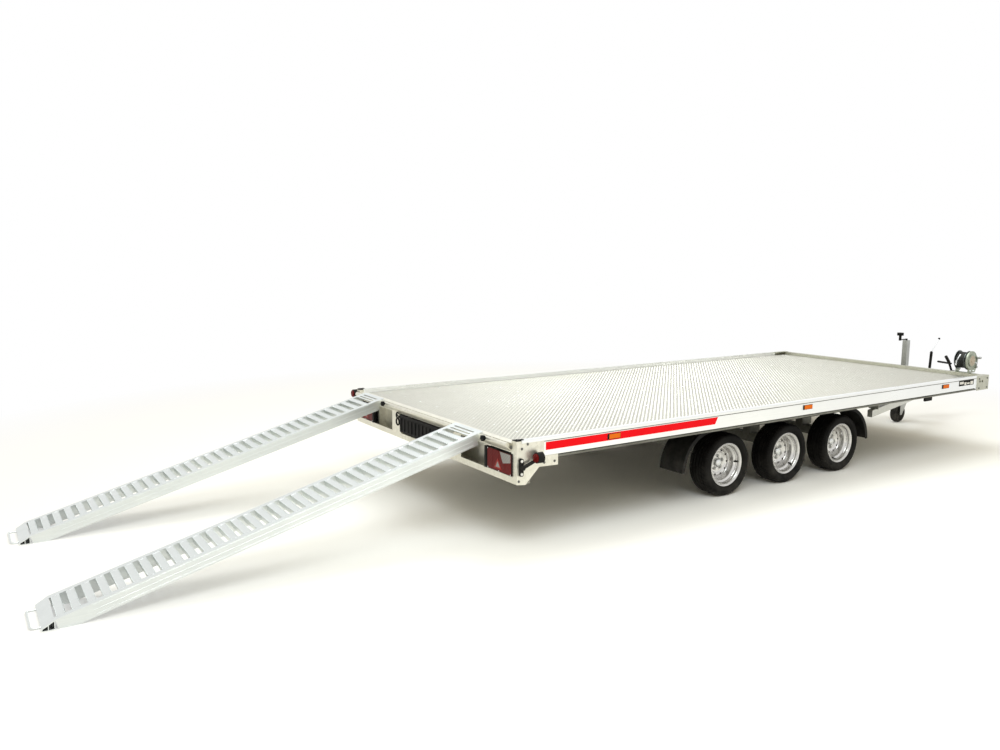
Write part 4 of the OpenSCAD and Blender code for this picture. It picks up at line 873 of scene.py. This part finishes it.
def makeLever():
    foot, bend, tip = Vector(lever["foot"]), Vector(lever["bend"]), Vector(lever["tip"])
    shares = [0.0, 0.10, 0.20, 0.23, 0.30, 0.60, 0.90, 0.96, 1.0]
    sizes = [0.014, 0.0145, 0.0145, 0.0165, 0.0155, 0.0158, 0.0162, 0.0165, 0.0120]
    grip = tube([at(*foot.lerp(bend, s)) for s in shares], sizes, 18)
    x, z = foot.x, lever["seat"]
    seat = block(at(x - 0.030, -0.030, z), at(x + 0.040, -0.012, z + 0.060), 0.003)
    makePiece("leverGrip", merged([grip, seat]), finishes["black_plastic"], "root", ["handbrake_lever"])
    rod = [tube([at(*bend), at(*bend.lerp(tip, 0.06)), at(*tip)], [0.0075, 0.0050, 0.0050], 12)]
    rod.append(shifted(aimed(hexBolt(0.017), (0, -1, 0)), at(x, -0.030, z + 0.035)))
    makePiece("leverRod", merged(rod), extra["brightZinc"], "root")
    ball = lathe([(0.013 * math.sin(a), max(0.0, 0.013 * math.cos(a))) for a in np.linspace(-math.pi / 2, math.pi / 2, 13)], 20)
    makePiece("leverBall", shifted(ball, at(*tip)), finishes["black_plastic"], "root")


makeLever()
print("lever done")


# fastenings of the drawbar: jack plate, jack clamp, overrun housing, bellows and coupling neck
drawbar = {"jackX": 6.530, "plateTop": 0.442, "plateBolts": [(-0.055, 0.258), (0.055, 0.252)], "collarHalf": 0.040,
           "collarMiddle": 0.467, "housingBolts": [6.822, 6.950, 7.180, 7.308], "housingSide": 0.0487, "neckBolts": [7.450, 7.500],
           "neckZ": 0.479, "neckRadius": 0.027, "clamps": [7.336, 7.414]}


def makeDrawbarFastenings():
    small, large = hexBolt(0.008), hexBolt(0.016)
    heads = []
    for sign in sides.values():
        for dx, y in drawbar["plateBolts"]:
            heads.append(shifted(large, at(drawbar["jackX"] + dx, sign * y, drawbar["plateTop"])))
        for x in drawbar["housingBolts"]:
            heads.append(shifted(small, at(x, sign * drawbar["housingSide"], drawbar["plateTop"])))
        for x in drawbar["neckBolts"]:
            heads.append(shifted(aimed(large, (0, sign, 0)), at(x, sign * (drawbar["neckRadius"] - 0.0008), drawbar["neckZ"])))
        front = at(drawbar["jackX"] + drawbar["collarHalf"], sign * 0.022, drawbar["collarMiddle"])
        heads.append(shifted(aimed(hexBolt(0.013), (1, 0, 0)), front))
    makePiece("drawbarBolts", merged(heads), extra["boltZinc"], "root")
    band = lathe([(-0.0045, 0.0290), (-0.0045, 0.0370), (-0.0030, 0.0380), (0.0030, 0.0380), (0.0045, 0.0370), (0.0045, 0.0290)], 40)
    bands = [shifted(aimed(band, (1, 0, 0)), at(x, 0, drawbar["neckZ"])) for x in drawbar["clamps"]]
    makePiece("bellowsClamps", merged(bands), extra["brightZinc"], "root")
    y = drawbar["collarHalf"]
    screw = tube([at(drawbar["jackX"], y, drawbar["collarMiddle"]), at(drawbar["jackX"], y + 0.052, drawbar["collarMiddle"])], 0.006, 14)
    bar = tube([at(drawbar["jackX"], y + 0.045, drawbar["collarMiddle"] + dz) for dz in (-0.045, 0.045)], 0.0045, 12)
    makePiece("jackClampScrew", merged([screw, bar]), extra["brightZinc"], "root")


makeDrawbarFastenings()
print("drawbar done")


# ramps: teeth on the rungs and welds, in the ramp's own frame that hangs on the bar
ramp = {"barX": -0.030, "barZ": 0.735, "length": 2.725, "width": 0.375, "railWidth": 0.040, "railHeight": 0.080, "top": 0.024,
        "firstRung": -0.132, "rungPitch": 0.080, "rungWidth": 0.046, "toeHeight": 0.053, "rungs": 33,
        "middle": {"right": -0.688, "left": 0.882}}


def rampMatrix(side):
    drop = ramp["barZ"] - ramp["toeHeight"]
    slope = math.asin(drop / ramp["length"]) + math.asin(ramp["top"] / ramp["length"])
    return Matrix.Translation(at(ramp["barX"], ramp["middle"][side], ramp["barZ"])) @ Matrix.Rotation(-slope, 4, "Y")


def ridden(shape, matrix):
    turn = np.array(matrix.to_3x3(), float)
    return shape[0] @ turn.T + np.array(matrix.translation), shape[1]


def makeRampTrim():
    inner = ramp["width"] / 2 - ramp["railWidth"]
    teeth, welds = [], []
    for k in range(ramp["rungs"]):
        x = ramp["firstRung"] - k * ramp["rungPitch"]
        for edge in (-1, 1):
            rung = x + edge * (ramp["rungWidth"] / 2 - 0.0025)
            for n in range(11):
                y = -inner + 0.010 + n * (2 * inner - 0.020) / 10
                tooth = block((rung - 0.0018, y - 0.006, ramp["top"] - 0.002), (rung + 0.0018, y + 0.006, ramp["top"] + 0.0032), 0.0012)
                teeth.append(tooth)
        for sign in (-1, 1):
            bead = tube([(x - 0.021, sign * inner, ramp["top"] - 0.0022), (x, sign * inner, ramp["top"] - 0.0015),
                         (x + 0.021, sign * inner, ramp["top"] - 0.0022)], [0.0020, 0.0032, 0.0020], 8)
            welds.append(bead)
    ribs = []
    for sign in (-1, 1):  # drawn ribs along the rails' outer faces
        face = sign * ramp["width"] / 2
        for z in (0.013, -0.018, -0.046):
            low, high = sorted((face - sign * 0.001, face + sign * 0.0016))
            ribs.append(block((-2.54, low, z), (-0.07, high, z + 0.0045), 0.0006))
    for side in sides:
        matrix = rampMatrix(side)
        makePiece("rampRibs" + side.capitalize(), ridden(merged(ribs), matrix), finishes["ramp_aluminium"],
                  "ramp_" + side)
        makePiece("rampTeeth" + side.capitalize(), ridden(merged(teeth), matrix), finishes["ramp_aluminium"],
                  "ramp_" + side)
        makePiece("rampWelds" + side.capitalize(), ridden(merged(welds), matrix), extra["brightZinc"],
                  "ramp_" + side)


makeRampTrim()
print("ramps done")


# floor, world and lamps
studio = {"floor": (0.93, 0.935, 0.93), "fadeFrom": 3.6, "fadeTo": 8.0, "fill": 0.78, "fillColour": (1.0, 0.92, 0.75), "lampColour": (0.93, 0.985, 1.0)}


def makeStudio():
    mesh = bpy.data.meshes.new("floor")
    size = 90
    mesh.from_pydata([(-size, -size, 0), (size, -size, 0), (size, size, 0), (-size, size, 0)], [], [(0, 1, 2, 3)])
    floor = bpy.data.objects.new("floor", mesh)
    bpy.context.scene.collection.objects.link(floor)
    material = bpy.data.materials.new("floor")
    material.use_nodes = True
    tree = material.node_tree
    tree.nodes.clear()
    place = put(tree, "TexCoord").outputs["Object"]
    away = put(tree, "VectorMath", {0: place}, operation="LENGTH").outputs["Value"]
    fade = spread(tree, away, studio["fadeFrom"], studio["fadeTo"], 0.0, 1.0)
    rays = put(tree, "LightPath")
    seen = maths(tree, "MAXIMUM", rays.outputs["Is Camera Ray"],
                 maths(tree, "MAXIMUM", rays.outputs["Is Glossy Ray"], rays.outputs["Is Transmission Ray"]))
    matte = put(tree, "BsdfDiffuse", {"Color": colour(*studio["floor"])})
    white = put(tree, "Emission", {"Color": colour(1, 1, 1), "Strength": 1.0})
    blend = put(tree, "MixShader", {0: maths(tree, "MULTIPLY", fade, seen), 1: matte.outputs[0], 2: white.outputs[0]})
    tree.links.new(blend.outputs[0], put(tree, "OutputMaterial").inputs[0])
    mesh.materials.append(material)

    world = bpy.data.worlds.new("studio")
    bpy.context.scene.world = world
    world.use_nodes = True
    tree = world.node_tree
    tree.nodes.clear()
    rays = put(tree, "LightPath")
    seen = maths(tree, "MAXIMUM", rays.outputs["Is Camera Ray"],
                 maths(tree, "MAXIMUM", rays.outputs["Is Glossy Ray"], rays.outputs["Is Transmission Ray"]))
    fill = put(tree, "Background", {"Color": colour(*studio["fillColour"]), "Strength": studio["fill"]})
    back = put(tree, "Background", {"Color": colour(1, 1, 1), "Strength": 1.0})
    blend = put(tree, "MixShader", {0: seen, 1: fill.outputs[0], 2: back.outputs[0]})
    tree.links.new(blend.outputs[0], put(tree, "OutputWorld").inputs[0])

    lamps = {"keyLamp": ((-1.5, -4.5, 6.5), (2.0, 0.0, 0.4), 5.0, 330), "topLamp": ((3.5, 1.5, 7.5), (2.5, 0.0, 0.4), 6.0, 330)}
    for name, (place, aim, size, power) in lamps.items():
        data = bpy.data.lights.new(name, "AREA")
        data.shape, data.size, data.size_y, data.energy = "RECTANGLE", size, size * 0.8, power
        data.color = studio["lampColour"]
        light = bpy.data.objects.new(name, data)
        bpy.context.scene.collection.objects.link(light)
        light.location = at(*place)
        light.rotation_euler = (at(*aim) - at(*place)).to_track_quat("-Z", "Y").to_euler()
    bpy.context.scene.view_settings.view_transform = "Standard"


makeStudio()
print("studio done")
